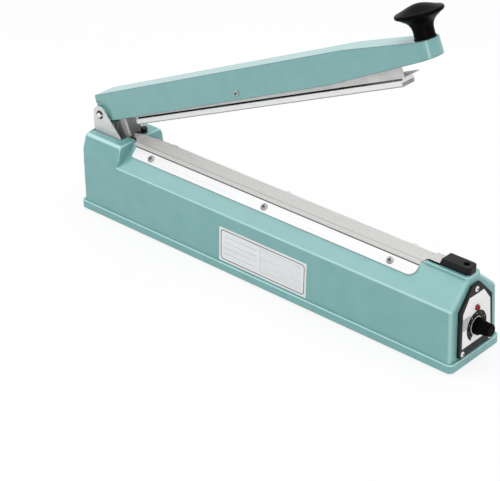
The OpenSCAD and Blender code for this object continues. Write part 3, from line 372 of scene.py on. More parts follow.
def woven_cloth():
    """Coated glass cloth: the threads follow the sheet's own map, in millimetres."""
    finish, tree, shader, where = start_finish("release_cloth")
    flat = where.outputs["UV"]
    warp = stripes(tree, flat, 0.42, "X")
    weft = stripes(tree, flat, 0.42, "Y")
    weave = tree.nodes.new("ShaderNodeMath")
    weave.operation = "MULTIPLY"
    tree.links.new(warp, weave.inputs[0])
    tree.links.new(weft, weave.inputs[1])
    cloud = shades(tree, flat, (0.49, 0.48, 0.46), (0.61, 0.60, 0.58), 0.35, 5.0)
    share = spread(tree, weave.outputs[0], 0.0, 0.5, 0.0, 0.8)
    threads = between(tree, share, cloud, (0.66, 0.65, 0.63))
    # Painted shade on the cloth: a dark shadow line along the clamp strips and a shaded fold along the
    # bar
    colour = between(tree, named(tree, "painted_cloth_shade"), threads, (0.02, 0.02, 0.02))
    tree.links.new(colour, shader.inputs["Base Color"])
    tree.links.new(spread(tree, grain(tree, flat, 0.8), 0.34, 0.5), shader.inputs["Roughness"])
    relief(tree, shader, weave.outputs[0], 0.06, 0.5)
    shader.inputs["Sheen Weight"].default_value = 0.15
    return finish


# Places along the part, in metres, between which the hollow of the press rail opens to the light
NECK_OPENS, NECK_OPEN = 0.100, 0.150


def neck_shade():
    """Painted shade in the rail's hollow: dark where it is deep, fading to grey towards the bar's free
    end where it opens to the light.
    """
    finish, tree, shader, where = start_finish("neck_shade")
    place = where.outputs["Object"]
    dark = shades(tree, place, (0.004, 0.004, 0.004), (0.010, 0.010, 0.010), 200.0)
    light = shades(tree, place, (0.26, 0.26, 0.25), (0.34, 0.34, 0.33), 200.0)
    split = tree.nodes.new("ShaderNodeSeparateXYZ")
    tree.links.new(place, split.inputs[0])
    share = spread(tree, split.outputs["X"], 0.0, 1.0, NECK_OPENS, NECK_OPEN)
    tree.links.new(between(tree, share, dark, light), shader.inputs["Base Color"])
    tree.links.new(spread(tree, grain(tree, place, 300.0), 0.5, 0.65), shader.inputs["Roughness"])
    shader.inputs["Specular IOR Level"].default_value = 0.1
    return finish


def red_lens():
    """Clear red plastic with fine rings."""
    finish, tree, shader, where = start_finish("red_lens")
    place = where.outputs["Object"]
    ring = stripes(tree, place, 190.0, "Z")
    colour = between(tree, ring, (0.17, 0.003, 0.006), (0.26, 0.008, 0.014))
    tree.links.new(colour, shader.inputs["Base Color"])
    tree.links.new(spread(tree, grain(tree, place, 400.0), 0.10, 0.2), shader.inputs["Roughness"])
    shader.inputs["Coat Weight"].default_value = 0.15
    shader.inputs["Specular IOR Level"].default_value = 0.2
    return finish


# Housing paint: the light edge tone is a painted highlight on its rounded edges
PAINT = teal_paint("teal_paint", (0.50, 0.78, 0.76), 0.25)
# Arm paint: the dark edge tone is a painted shade line on its rounded edges
ARM_PAINT = teal_paint("arm_paint", (0.085, 0.16, 0.165), 0.55)
CHEEK_STEEL = metal("satin_steel", (0.66, 0.66, 0.66), (0.75, 0.75, 0.74), (0.36, 0.48),
                    lines=(0.06, 1, 1), shine=0.25)
ZINC = metal("zinc_plate", (0.36, 0.36, 0.35), (0.52, 0.52, 0.50), (0.24, 0.40), fine=500.0)
SCREW_STEEL = metal("screw_steel", (0.30, 0.30, 0.29), (0.42, 0.42, 0.41), (0.40, 0.55),
                    fine=500.0, shine=0.7)
PIN_STEEL = metal("bright_pin", (0.82, 0.82, 0.82), (0.90, 0.90, 0.90), (0.22, 0.34), shine=0.5)
DARK_STEEL = metal("blackened_steel", (0.10, 0.10, 0.11), (0.16, 0.16, 0.17), (0.34, 0.48))
STRIP_METAL = metal("white_aluminium", (0.67, 0.67, 0.68), (0.73, 0.73, 0.74), (0.36, 0.46),
                    lines=(0.04, 1, 1), shine=0.2)
RAIL_METAL = metal("rail_aluminium", (0.82, 0.82, 0.83), (0.89, 0.89, 0.90), (0.34, 0.46),
                   lines=(0.03, 1, 1), shine=0.3)
# Striker plate: lighter than the bracket's steel, as painted light for the shade inside the arm
STRIKER_LIT_STEEL = metal("striker_sheet_painted_light", (0.84, 0.84, 0.84), (0.92, 0.92, 0.92), (0.45, 0.6),
                      lines=(1, 1, 0.06), shine=0.1)
SHEET_STEEL = metal("galvanised_sheet", (0.54, 0.54, 0.53), (0.64, 0.64, 0.63), (0.42, 0.56),
                    fine=260.0, shine=0.4)
COVER_STEEL = metal("cover_sheet", (0.40, 0.41, 0.42), (0.50, 0.51, 0.52), (0.36, 0.5), fine=300.0)
BRASS = metal("turned_brass", (0.52, 0.35, 0.11), (0.66, 0.47, 0.18), (0.24, 0.36))
RIBBON = metal("heating_ribbon", (0.42, 0.40, 0.37), (0.54, 0.51, 0.46), (0.3, 0.42), lines=(0.05, 1, 1))
BLACK = moulded("black_moulding", (0.006, 0.006, 0.007), (0.012, 0.012, 0.013), (0.34, 0.46), mirror=0.15)
PANEL_BLACK = moulded("panel_moulding", (0.010, 0.010, 0.010), (0.016, 0.015, 0.016), (0.40, 0.52),
                      mirror=0.18)
KNOB_BLACK = moulded("polished_knob", (0.002, 0.002, 0.002), (0.004, 0.004, 0.004), (0.24, 0.34),
                     fine=700.0, depth=0.01, strength=0.15, mirror=0.02)
RUBBER = moulded("foot_rubber", (0.018, 0.018, 0.018), (0.032, 0.032, 0.032), (0.6, 0.75))
SILICONE = moulded("grey_silicone", (0.33, 0.33, 0.335), (0.41, 0.41, 0.415), (0.5, 0.64))
NYLON = moulded("natural_nylon", (0.62, 0.58, 0.48), (0.74, 0.70, 0.60), (0.4, 0.52))
TAPE = moulded("insulating_tape", (0.42, 0.27, 0.11), (0.54, 0.37, 0.17), (0.45, 0.6), fine=500.0)
BOARD = moulded("circuit_board", (0.02, 0.13, 0.06), (0.04, 0.19, 0.09), (0.35, 0.5), fine=400.0)
PARTS_BLUE = moulded("component_blue", (0.02, 0.05, 0.22), (0.04, 0.08, 0.30), (0.35, 0.5))
LABEL_FILM = metal("label_film", (0.74, 0.75, 0.76), (0.84, 0.85, 0.86), (0.34, 0.44),
                   lines=(0.05, 1, 1), shine=0.2)
PANEL_PRINT = moulded("panel_print", (0.90, 0.90, 0.90), (0.95, 0.95, 0.95), (0.4, 0.5),
                      fine=900.0, depth=0.01)
# Black ink for print, also used as painted shade in the screw heads' cross recesses
BLACK_INK_AND_SHADE = ink("black_ink_and_shade", (0.006, 0.006, 0.006), (0.012, 0.012, 0.012), mirror=0.12)
GREY_INK = ink("grey_ink", (0.30, 0.30, 0.31), (0.37, 0.37, 0.38))
PATCH_INK = ink("patch_ink", (0.48, 0.48, 0.49), (0.57, 0.57, 0.58))
WHITE_INK = ink("white_ink", (0.78, 0.78, 0.78), (0.88, 0.88, 0.88))
WINDING = layered("lacquered_winding", (0.20, 0.07, 0.02), (0.44, 0.19, 0.07), 160.0, "Z",
                  shine=0.6, rough=(0.25, 0.4))
CORE = layered("core_sheets", (0.05, 0.05, 0.055), (0.13, 0.13, 0.14), 220.0, "X",
               shine=0.7, rough=(0.4, 0.6))
CLOTH = woven_cloth()
LENS = red_lens()
NECK_SHADE = neck_shade()

# Parts of the frame: rounded copies where edges show, finishes on the rest

# Housing in its own frame, in millimetres: side walls' foot and shoulder, ridge, right end's foot
FLANGE_TOP, WALL_HALF = 9.8, 41.2
SHOULDER_H, SHOULDER_HALF = 70.5, 39.6
RIDGE_H, RIDGE_HALF = 94.1, 12.05
SLOPE = math.atan((RIDGE_H - SHOULDER_H) / (SHOULDER_HALF - RIDGE_HALF))
END_FOOT = 271.5
RIGHT_LEAN = math.radians(3.0)
END_OUT = Vector((math.cos(RIGHT_LEAN), 0.0, math.sin(RIGHT_LEAN)))
END_UP = Vector((-math.sin(RIGHT_LEAN), 0.0, math.cos(RIGHT_LEAN)))
# The tower's extent, and the limits outside which an edge of its top belongs to the outer rim
TOWER_END, TOWER_LOW = -211.5, 90.0
RIM_LEFT, RIM_RIGHT, RIM_HALF = -268.0, -213.5, 28.0
# Heights above which edges of the end wall and of the bed's seats are taken
END_LOW, SEAT_LOW = 11.0, 80.0
# How near its line an edge of shoulder, end wall or flange lies, and how far seats keep from the wall
SHOULDER_NEAR, END_NEAR, FLANGE_NEAR, SEAT_CLEAR = 1.2, 0.8, 0.5, 2.5


def end_wall(z):
    """Place of the right end wall at a height."""
    return END_FOOT - max(z - FLANGE_TOP, 0.0) * math.tan(RIGHT_LEAN)


def shoulder_edges(m, convex):
    """Long wall edges and the outer rim of the tower's top."""
    rim = m.x < RIM_LEFT or m.x > RIM_RIGHT or abs(m.y) > RIM_HALF
    tower_top = m.z > TOWER_LOW and m.x < TOWER_END and rim
    return convex and (abs(m.z - SHOULDER_H) < SHOULDER_NEAR or tower_top)


def end_edges(m, convex):
    """Edges of the right end wall."""
    return convex and m.x > end_wall(m.z) - END_NEAR and m.z > END_LOW


def flange_edges(m, convex):
    """Top edge of the bottom flange."""
    return convex and abs(m.z - FLANGE_TOP) < FLANGE_NEAR


def seat_edges(m, convex):
    """The upper edges that are left, along the bed and around the tower's slot."""
    return convex and m.z > SEAT_LOW and m.x < end_wall(m.z) - SEAT_CLEAR


HINGE_AT = SHIFT + Vector((-259.0, 0.0, 118.403)) * MM
# The arm's angle at rest, the press bar's tilt in it and the bar's pin from the hinge along the arm
ARM_ANGLE = math.radians(-23.85)
BAR_TILT = math.radians(0.6)
BAR_PIN = Vector((233.7, 0.0, -2.4)) * MM
# Hollow of the press rail in the bar's frame
NECK_LOW, NECK_TOP, NECK_HALF = -16.2, -14.3, 10.0
# Heights of the screw heads that show a cross recess
STRIP_HEAD, PANEL_HEAD, PIN_HEAD = 1.9, 1.4, 1.9


def bar_place():
    """Frame of the press bar at rest, from the hinge pin along the arm."""
    pivot = Matrix.Translation(HINGE_AT)
    rock = Matrix.Translation(BAR_PIN)
    tilt = Matrix.Rotation(BAR_TILT, 4, "Y")
    return pivot @ Matrix.Rotation(ARM_ANGLE, 4, "Y") @ rock @ tilt @ rock.inverted()


def further_finish(piece, finish):
    """Adds a finish to the piece and gives its number there."""
    piece.data.materials.append(finish)
    return len(piece.data.materials) - 1


def dark_neck(rail):
    """Paints shade into the hollow between the rail's top lip and its body."""
    dark = further_finish(rail, NECK_SHADE)
    back = bar_place().inverted()
    for face in rail.data.polygons:
        at = (back @ face.center) / MM
        if NECK_LOW < at.z < NECK_TOP and abs(at.y) < NECK_HALF:
            face.material_index = dark


def winding_spring(finish):
    """The return spring, as a smooth-shaded copy of its node that keeps its shape.
    """
    piece = copy_of("return_spring", "return_spring_winding")
    bpy.ops.object.mode_set(mode="OBJECT")
    dress(piece, finish)
    pick(piece)
    bpy.ops.object.shade_smooth_by_angle(angle=math.radians(50))
    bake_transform(piece)
    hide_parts("return_spring")


def dark_recess(screws, out, head):
    """Paints shade into the cross recess of the screw heads that look along out, with the black ink."""
    dark = further_finish(screws, BLACK_INK_AND_SHADE)
    top = max(vert.co.dot(out) for vert in screws.data.vertices)
    for face in screws.data.polygons:
        depth = (top - face.center.dot(out)) / (head * MM)
        square = face.normal.dot(out)
        inside = 0.0 < depth < 0.55
        wall = square < 0.5
        floor = depth > 0.45 and square > 0.999
        if inside and (wall or floor):
            face.material_index = dark


def pale_rear(screws):
    """Gives the rear strip's screws the strip's metal."""
    pale = further_finish(screws, STRIP_METAL)
    for face in screws.data.polygons:
        if face.center.y > 0.0:
            face.material_index = pale


rounded("housing", PAINT, (3.4, 6, end_edges), (1.8, 4, shoulder_edges), (1.3, 4, flange_edges),
        (0.7, 3, seat_edges))
rounded("arm", ARM_PAINT, (0.9, 4, ridges))
rounded("right_end_block", BLACK, (0.8, 4, ridges))
rounded("left_end_block", BLACK, (0.4, 3, ridges))
rounded("control_panel", PANEL_BLACK, (0.5, 3, ridges))
rounded("hinge_bracket", CHEEK_STEEL, (0.25, 3, ridges))
rounded("front_clamp_strip", STRIP_METAL, (0.25, 3, ridges))
rounded("rear_clamp_strip", STRIP_METAL, (0.25, 3, ridges))
dark_neck(rounded("press_bar_rail", RAIL_METAL, (0.3, 3, ridges)))
rounded("press_bar_carrier", SHEET_STEEL, (0.25, 3, ridges))
rounded("striker_plate", STRIKER_LIT_STEEL, (0.25, 3, ridges))
rounded("silicone_strip", SILICONE, (0.4, 3, ridges))
strip_screws = rounded("clamp_strip_screws", SCREW_STEEL)
dark_recess(strip_screws, Vector((0.0, -math.sin(SLOPE), math.cos(SLOPE))), STRIP_HEAD)
pale_rear(strip_screws)
dark_recess(rounded("panel_screws", PIN_STEEL), END_OUT, PANEL_HEAD)
dark_recess(rounded("press_bar_pin", ZINC), Vector((0.0, -1.0, 0.0)), PIN_HEAD)

winding_spring(ZINC)

coat_node(ZINC, "terminal_screws", "bracket_screws", "cover_screws", "foot_screws",
          "press_bar_nut", "rail_screws", "striker_screws", "knob_bolt",
          "switch_screws", "transformer_screws", "potentiometer_nut", "timer_shaft",
          "timer_potentiometer")
coat_node(DARK_STEEL, "end_block_screw")
coat_node(PIN_STEEL, "hinge_pin")
coat_node(COVER_STEEL, "bottom_cover", "switch_bracket", "transformer_frame")
coat_node(RAIL_METAL, "heater_bar")
coat_node(RIBBON, "heating_element")
coat_node(BRASS, "element_terminals")
coat_node(TAPE, "insulation_strip")
coat_node(RUBBER, "rubber_feet", "cord_bush")
coat_node(BLACK, "micro_switch", "hinge_pin_clips")
coat_node(KNOB_BLACK, "arm_knob", "timer_knob")
coat_node(NYLON, "board_standoffs")
coat_node(ARM_PAINT, "hinge_bushes")
coat_node(CORE, "transformer_core")
coat_node(WINDING, "transformer_coil")
coat_node(BOARD, "timer_board")
coat_node(PARTS_BLUE, "board_parts")
coat_node(LENS, "indicator_lamp", "switch_plunger")
coat_node(PANEL_PRINT, "panel_label")
coat_node(LABEL_FILM, "rating_label")


# Release cloth over the sealing bed, in the housing's frame and in millimetres

# Half width and height of the heater bar, and of the flat crown of the cloth above it
BAR_HALF, BAR_Z = 9.5, 95.6
CROWN_HALF, CLOTH_Z = 6.4, 95.95
# Way down the slope to where the clamp strips hold the cloth
TUCK = 12.1
CLOTH_T = 0.2
# Height of the cloth's middle above what it lies on
CLOTH_UP = CLOTH_T / 2 + 0.02
# Distance from the middle at which the clamp strips let the cloth out
STRIP_EDGE = 14.5
# Length by which the cloth under the strips is shorter at the left
CORNER_CUT = 7.5
# Ripple in the free cloth beside the bar: its place, its spread and its height
RIPPLE_AT, RIPPLE_WIDE, RIPPLE_H = 10.8, 1.4, 0.16
# Its waves along the bed, and the slower drift of these waves
WAVE_RATE, DRIFT, DRIFT_RATE = 0.11, 1.7, 0.023
# Half widths of the painted shadow line along the strips and of the painted shade of the fold along the
# bar
LINE_WIDE, FOLD_WIDE = 0.45, 0.8
# The painted fold shade's distance from the bar's edge, and its darkness
FOLD_OFF, FOLD_DARK = 0.1, 0.4
# Side view of the tab that climbs onto the right end block's tongue
TAB_LINE = [Vector((208.4, CLOTH_Z)), Vector((212.1, 98.3)), Vector((215.8, 100.0)),
            Vector((228.5, 100.0))]
TAB_HALF = 8.0
# Side view of the pointed end that lies over the left terminal screw, its front and back and its half tip
POINT_LINE = [Vector((-209.5, CLOTH_Z)), Vector((-211.8, 98.0)), Vector((-222.0, 98.0))]
POINT_FRONT, POINT_BACK, POINT_TIP = -9.5, 8.0, 1.5


def cloth_line():
    """The cloth's middle line across the bed, from front to back."""
    low = Vector((-RIDGE_HALF - TUCK * math.cos(SLOPE), RIDGE_H - TUCK * math.sin(SLOPE)))
    crest, bar, crown = (-RIDGE_HALF, RIDGE_H), (-BAR_HALF, BAR_Z), (-CROWN_HALF, CLOTH_Z)
    half = [low, Vector(crest), Vector(bar), Vector(crown)]
    return half + [Vector((-p.x, p.y)) for p in reversed(half)]


def walk(line, count):
    """Points spaced evenly along the line, with the way walked."""
    lengths = [(b - a).length for a, b in zip(line, line[1:])]
    total = sum(lengths)
    for i in range(count + 1):
        way = left = total * i / count
        for a, b, span in zip(line, line[1:], lengths):
            if left <= span or b is line[-1]:
                yield way, a.lerp(b, min(left / span, 1.0))
                break
            left -= span


def height_at(line, y):
    """Height of the line at a place across the bed."""
    for a, b in zip(line, line[1:]):
        if a.x <= y <= b.x:
            return a.lerp(b, (y - a.x) / (b.x - a.x)).y


def cloth_grid(along, across, flat_at, place_at):
    """A grid of cloth: from the steps along and across, flat_at gives its map and place_at its place."""
    leave_all()
    bpy.ops.mesh.primitive_grid_add(x_subdivisions=along, y_subdivisions=across, size=1.0)
    mesh = bpy.context.object.data
    steps = [(round((v.co.x + 0.5) * along), round((v.co.y + 0.5) * across)) for v in mesh.vertices]
    uv = mesh.uv_layers.active.data
    for loop in mesh.loops:
        uv[loop.index].uv = flat_at(*steps[loop.vertex_index])
    for vert in mesh.vertices:
        vert.co = place_at(*steps[vert.index]) * MM + SHIFT
    mesh.update()
    return bpy.context.object


def climbing(line, side_line, side, y):
    """Place of cloth that leaves the bed's line for a point of its own side view."""
    share = min((side.x - side_line[0].x) / (side_line[1].x - side_line[0].x), 1.0)
    z = height_at(line, y) * (1 - share) + side.y * share
    return Vector((side.x, y, z + CLOTH_UP))


def bed_cloth(line, length):
    """The cloth along the bed, and its width."""
    along, across = 160, 128
    ways = list(walk(line, across))

    def place_at(i, j):
        point = ways[j][1]
        cut = CORNER_CUT if abs(point.x) > STRIP_EDGE else 0.0
        x = POINT_LINE[0].x + cut + (length - cut) * i / along
        ripple = 0.5 + 0.5 * math.sin(x * WAVE_RATE + DRIFT * math.sin(x * DRIFT_RATE))
        free = math.exp(-((abs(point.x) - RIPPLE_AT) / RIPPLE_WIDE) ** 2)
        return Vector((x, point.x, point.y + CLOTH_UP + RIPPLE_H * ripple * free))

    def flat_at(i, j):
        return length * i / along, ways[j][0]

    return cloth_grid(along, across, flat_at, place_at), ways[-1][0]


def tab_cloth(line, length, width):
    """The tab at the right end, and its length."""
    along, across = 24, 16
    ways = list(walk(TAB_LINE, along))

    def across_at(j):
        return TAB_HALF * (2 * j / across - 1)

    def place_at(i, j):
        return climbing(line, TAB_LINE, ways[i][1], across_at(j))

    def flat_at(i, j):
        return length + ways[i][0], width / 2 + across_at(j)

    return cloth_grid(along, across, flat_at, place_at), ways[-1][0]


def pointed_cloth(line, width):
    """The pointed left end, and its length."""
    along, across = 16, 12
    ways = list(walk(POINT_LINE, along))
    point_length = ways[-1][0]
    # The grid runs from the tip to the bed
    ways.reverse()

    def across_at(i, j):
        share = ways[i][0] / point_length
        front = POINT_FRONT - (POINT_FRONT + POINT_TIP) * share
        back = POINT_BACK - (POINT_BACK - POINT_TIP) * share
        return front + (back - front) * j / across

    def place_at(i, j):
        return climbing(line, POINT_LINE, ways[i][1], across_at(i, j))

    def flat_at(i, j):
        return -ways[i][0], width / 2 + across_at(i, j)

    return cloth_grid(along, across, flat_at, place_at), point_length


def mark_soot(piece):
    """Notes the painted shadow line along the clamp strips and the painted shade of the fold along the
    bar, for the cloth.
    """
    painted_cloth_shade = piece.data.attributes.new("painted_cloth_shade", "FLOAT", "POINT")
    for vert in piece.data.vertices:
        y = abs(vert.co.y) / MM
        painted_shadow_line = min(1.0, max(0.0, 2.0 - abs(y - STRIP_EDGE) / LINE_WIDE))
        fold = FOLD_DARK * max(0.0, 1.0 - abs(y - BAR_HALF - FOLD_OFF) / FOLD_WIDE)
        painted_cloth_shade.data[vert.index].value = max(painted_shadow_line, fold)


def release_cloth():
    line = cloth_line()
    length = TAB_LINE[0].x - POINT_LINE[0].x
    bed, width = bed_cloth(line, length)
    tab, tab_length = tab_cloth(line, length, width)
    point, point_length = pointed_cloth(line, width)
    piece = join([bed, tab, point], "release_cloth_sheet")
    mark_soot(piece)
    skin = piece.modifiers.new("thickness", "SOLIDIFY")
    skin.thickness = CLOTH_T * MM
    skin.offset = 0.0
    apply_all(piece)
    dress(piece, CLOTH)
    pick(piece)
    bpy.ops.object.shade_smooth_by_angle(angle=math.radians(40))
    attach(piece, "base")
    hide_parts("release_cloth")


release_cloth()


# Prints on the control panel and on the front label

def flat_ring(outer, inner, start, sweep, steps):
    """A flat band along an arc, drawn in the XY plane."""
    leave_all()
    bpy.ops.mesh.primitive_plane_add(size=1.0)
    piece = bpy.context.object
    bpy.ops.object.mode_set(mode="EDIT")
    bpy.ops.mesh.delete(type="ONLY_FACE")
    bpy.ops.mesh.select_all(action="DESELECT")
    shape = bmesh.from_edit_mesh(piece.data)
    shape.edges.ensure_lookup_table()
    first = Vector((math.cos(math.radians(start)), math.sin(math.radians(start)), 0.0))
    keep = shape.edges[0]
    for vert in [v for v in shape.verts if v not in keep.verts]:
        shape.verts.remove(vert)
    keep.verts[0].co = first * inner * MM
    keep.verts[1].co = first * outer * MM
    keep.select_set(True)
    bmesh.update_edit_mesh(piece.data)
    bpy.ops.mesh.spin(steps=steps, angle=-math.radians(sweep), center=(0, 0, 0), axis=(0, 0, 1))
    bpy.ops.mesh.select_all(action="SELECT")
    bpy.ops.mesh.remove_doubles(threshold=0.001 * MM)
    bpy.ops.mesh.normals_make_consistent(inside=False)
    bpy.ops.object.mode_set(mode="OBJECT")
    return piece


def flat_plate(x0, y0, x1, y1):
    """A flat rectangle, drawn in the XY plane."""
    leave_all()
    bpy.ops.mesh.primitive_plane_add(size=1.0)
    piece = bpy.context.object
    for vert in piece.data.vertices:
        vert.co.x = (x1 if vert.co.x > 0 else x0) * MM
        vert.co.y = (y1 if vert.co.y > 0 else y0) * MM
    return piece


def numeral(text, x, y, size):
    """A number as a flat mesh around a point of the XY plane."""
    leave_all()
    bpy.ops.object.text_add()
    piece = bpy.context.object
    piece.data.body = text
    piece.data.size = size * MM
    piece.data.align_x = "CENTER"
    piece.data.align_y = "CENTER"
    bpy.ops.object.convert(target="MESH")
    piece = bpy.context.object
    piece.data.transform(Matrix.Translation((x * MM, y * MM, 0.0)))
    return piece


def printed(piece, finish, place, thick, body):
    """Ink of a given thickness on the face that place describes."""
    pick(piece)
    if piece.data.polygons[0].normal.z < 0:
        piece.data.flip_normals()
    skin = piece.modifiers.new("ink", "SOLIDIFY")
    skin.thickness = thick * MM
    skin.offset = 1.0
    apply_all(piece)
    settle(piece, place)
    dress(piece, finish)
    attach(piece, body)
    return piece


def face_place(origin, right, up):
    """Frame of a face that is seen with these directions right and up."""
    out = right.cross(up)
    place = Matrix((right, up, out)).transposed().to_4x4()
    place.translation = origin
    return place


# The dial's middle: its height, and how far the panel's face stands out from the end wall
DIAL_Z, PANEL_OUT = 39.4, 3.82
DIAL_AT = Vector((END_FOOT, 0.0, FLANGE_TOP)) + PANEL_OUT * END_OUT + (DIAL_Z - FLANGE_TOP) * END_UP
PANEL_FACE = face_place(SHIFT + DIAL_AT * MM, Vector((0, 1, 0)), END_UP)
# The dial's band: its radii, where it starts and how far it runs in degrees, and its steps
BAND_OUTER, BAND_INNER = 17.2, 10.4
DIAL_FROM, DIAL_SWEEP, DIAL_STEPS = 232.0, -284.0, 8
# The dial's numbers: their radius, their size and the angle kept free at both ends of the band
NUMBER_AT, NUMBER_SIZE, NUMBER_INSET = 14.2, 2.4, 7.0
# Thickness of the inks, and how far the numbers stand on the band
INK_T, BAND_T, NUMBER_T = 0.03, 0.05, 0.04
NUMBER_LIFT = 0.06

band = flat_ring(BAND_OUTER, BAND_INNER, DIAL_FROM, DIAL_SWEEP, 72)
printed(band, BLACK_INK_AND_SHADE, PANEL_FACE, BAND_T, "base").name = "dial_band"
numbers = []
for i in range(DIAL_STEPS + 1):
    turn = math.radians(DIAL_FROM - NUMBER_INSET + (DIAL_SWEEP + 2 * NUMBER_INSET) * i / DIAL_STEPS)
    numbers.append(numeral(str(i), NUMBER_AT * math.cos(turn), NUMBER_AT * math.sin(turn), NUMBER_SIZE))
NUMBER_FACE = PANEL_FACE @ Matrix.Translation((0, 0, NUMBER_LIFT * MM))
printed(join(numbers, "dial_numbers"), WHITE_INK, NUMBER_FACE, NUMBER_T, "base")
patch = flat_plate(-24.2, 2.8, -10.0, 16.8)
printed(patch, PATCH_INK, PANEL_FACE, INK_T, "base").name = "dial_patch"

# The front label's middle and its film
LABEL_X, LABEL_Z, LABEL_T = 14.0, 32.8, 0.22
WALL_LEAN = math.atan((WALL_HALF - SHOULDER_HALF) / (SHOULDER_H - FLANGE_TOP))
LABEL_UP = Vector((0.0, math.sin(WALL_LEAN), math.cos(WALL_LEAN)))
LABEL_Y = (LABEL_Z - FLANGE_TOP) * math.tan(WALL_LEAN) - WALL_HALF
LABEL_AT = SHIFT + Vector((LABEL_X, LABEL_Y, LABEL_Z)) * MM
LABEL_FACE = face_place(LABEL_AT, Vector((1, 0, 0)), LABEL_UP) @ Matrix.Translation((0, 0, LABEL_T * MM))


def frame_line(half_l, half_h, corner, width):
    """A thin frame with round corners, drawn in the XY plane."""
    leave_all()
    bpy.ops.mesh.primitive_plane_add(size=1.0)
    piece = bpy.context.object
    for vert in piece.data.vertices:
        vert.co.x = math.copysign(half_l * MM, vert.co.x)
        vert.co.y = math.copysign(half_h * MM, vert.co.y)
    bpy.ops.object.mode_set(mode="EDIT")
    bpy.ops.mesh.select_all(action="SELECT")
    bpy.ops.mesh.bevel(offset=corner * MM, segments=6, affect="VERTICES", clamp_overlap=False)
    bpy.ops.mesh.select_all(action="SELECT")
    bpy.ops.mesh.inset(thickness=width * MM)
    bpy.ops.mesh.delete(type="FACE")
    bpy.ops.object.mode_set(mode="OBJECT")
    return piece


def level_rules(left, right, first, thick, step, count):
    """Level lines below each other, from the first one's lower edge."""
    return [flat_plate(left, first - step * i, right, first + thick - step * i) for i in range(count)]


border = frame_line(half_l=61.5, half_h=18.7, corner=4.0, width=0.9)
printed(border, BLACK_INK_AND_SHADE, LABEL_FACE, INK_T, "base").name = "label_border"
rules = level_rules(-56.0, -8.0, first=10.2, thick=0.4, step=7.0, count=4)
rules += level_rules(-2.5, 56.5, first=14.8, thick=0.2, step=2.9, count=11)
rules += [flat_plate(-2.8, -14.4, -2.5, 15.2)]
printed(join(rules, "label_rules"), GREY_INK, LABEL_FACE, INK_T, "base")


# Floor, light and camera

# Share of its own white that the floor shows to the camera and in mirrors
FLOOR_GLOW = 0.85
# Strength of the white surroundings as light and as a background
WORLD_LIGHT, WORLD_SHOWN = 0.5, 1.0
# Camera fitted to the photo: its yaw, pitch and roll in degrees, its place and its lens
CAMERA_TURNS = (42.063, 29.833, -0.384)
CAMERA_AT = Vector((1100.99, -1274.52, 1008.08)) * MM
CAMERA_LENS = 124.83


def either(tree, first, second):
    """The larger of two values."""
    larger = tree.nodes.new("ShaderNodeMath")
    larger.operation = "MAXIMUM"
    tree.links.new(first, larger.inputs[0])
    tree.links.new(second, larger.inputs[1])
    return larger.outputs[0]


def white_floor():
    leave_all()
    bpy.ops.mesh.primitive_plane_add(size=8.0)
    floor = bpy.context.object
    floor.name = "floor"
    finish = bpy.data.materials.new("floor_white")
    finish.use_nodes = True
    tree = finish.node_tree
    shader = tree.nodes["Principled BSDF"]
    shader.inputs["Base Color"].default_value = (0.86, 0.86, 0.86, 1.0)
    shader.inputs["Roughness"].default_value = 0.9
    shader.inputs["Specular IOR Level"].default_value = 0.0
    glow = tree.nodes.new("ShaderNodeEmission")
    glow.inputs["Strength"].default_value = 1.0
    path = tree.nodes.new("ShaderNodeLightPath")
    share = tree.nodes.new("ShaderNodeMath")
    share.operation = "MULTIPLY"
    share.inputs[1].default_value = FLOOR_GLOW
    shown = either(tree, path.outputs["Is Camera Ray"], path.outputs["Is Glossy Ray"])
    tree.links.new(shown, share.inputs[0])
    mix = tree.nodes.new("ShaderNodeMixShader")
    tree.links.new(share.outputs[0], mix.inputs[0])
    tree.links.new(shader.outputs[0], mix.inputs[1])
    tree.links.new(glow.outputs[0], mix.inputs[2])
    tree.links.new(mix.outputs[0], tree.nodes["Material Output"].inputs["Surface"])
    floor.data.materials.append(finish)


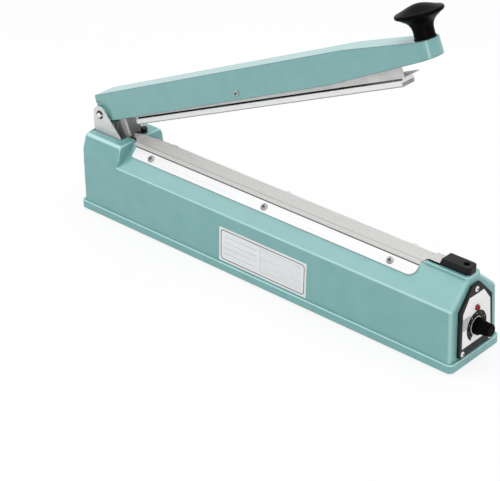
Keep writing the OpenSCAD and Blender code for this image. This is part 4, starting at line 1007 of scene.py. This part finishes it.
def white_world():
    world = bpy.data.worlds.new("studio")
    bpy.context.scene.world = world
    world.use_nodes = True
    tree = world.node_tree
    back = tree.nodes["Background"]
    back.inputs["Color"].default_value = (1.0, 1.0, 1.0, 1.0)
    path = tree.nodes.new("ShaderNodeLightPath")
    level = tree.nodes.new("ShaderNodeMapRange")
    level.inputs["To Min"].default_value = WORLD_LIGHT
    level.inputs["To Max"].default_value = WORLD_SHOWN
    seen = either(tree, path.outputs["Is Camera Ray"], path.outputs["Is Transmission Ray"])
    shown = either(tree, seen, path.outputs["Is Glossy Ray"])
    tree.links.new(shown, level.inputs["Value"])
    tree.links.new(level.outputs["Result"], back.inputs["Strength"])


def softbox(name, at, to, size, power, tall=None):
    """A soft area light that looks from one place to another."""
    lamp = bpy.data.lights.new(name, "AREA")
    lamp.shape = "RECTANGLE"
    lamp.size = size
    lamp.size_y = tall or size
    lamp.energy = power
    lamp_object = bpy.data.objects.new(name, lamp)
    bpy.context.collection.objects.link(lamp_object)
    lamp_object.location = at
    lamp_object.rotation_euler = (Vector(to) - Vector(at)).to_track_quat("-Z", "Y").to_euler()


def photo_camera():
    yaw, pitch, roll = (math.radians(turn) for turn in CAMERA_TURNS)
    look = Vector((-math.sin(yaw) * math.cos(pitch), math.cos(yaw) * math.cos(pitch), -math.sin(pitch)))
    level = look.cross(Vector((0, 0, 1))).normalized()
    above = level.cross(look)
    right = math.cos(roll) * level + math.sin(roll) * above
    up = math.cos(roll) * above - math.sin(roll) * level
    camera = bpy.data.cameras.new("photo_camera")
    camera.sensor_width = 36.0
    camera.lens = CAMERA_LENS
    camera.clip_end = 20.0
    holder = bpy.data.objects.new("photo_camera", camera)
    bpy.context.collection.objects.link(holder)
    place = Matrix((right, up, -look)).transposed().to_4x4()
    place.translation = CAMERA_AT
    holder.matrix_world = place
    bpy.context.scene.camera = holder


white_floor()
white_world()
softbox("top_light", (0.1, 0.25, 1.7), (0.0, 0.0, 0.1), 1.6, 19.5)
softbox("front_light", (-1.05, -0.78, 1.45), (0.0, 0.0, 0.1), 1.0, 8.5)
softbox("side_light", (1.85, -1.50, 0.55), (0.2, 0.0, 0.25), 0.6, 9.0, tall=1.0)
photo_camera()

bpy.context.view_layer.update()
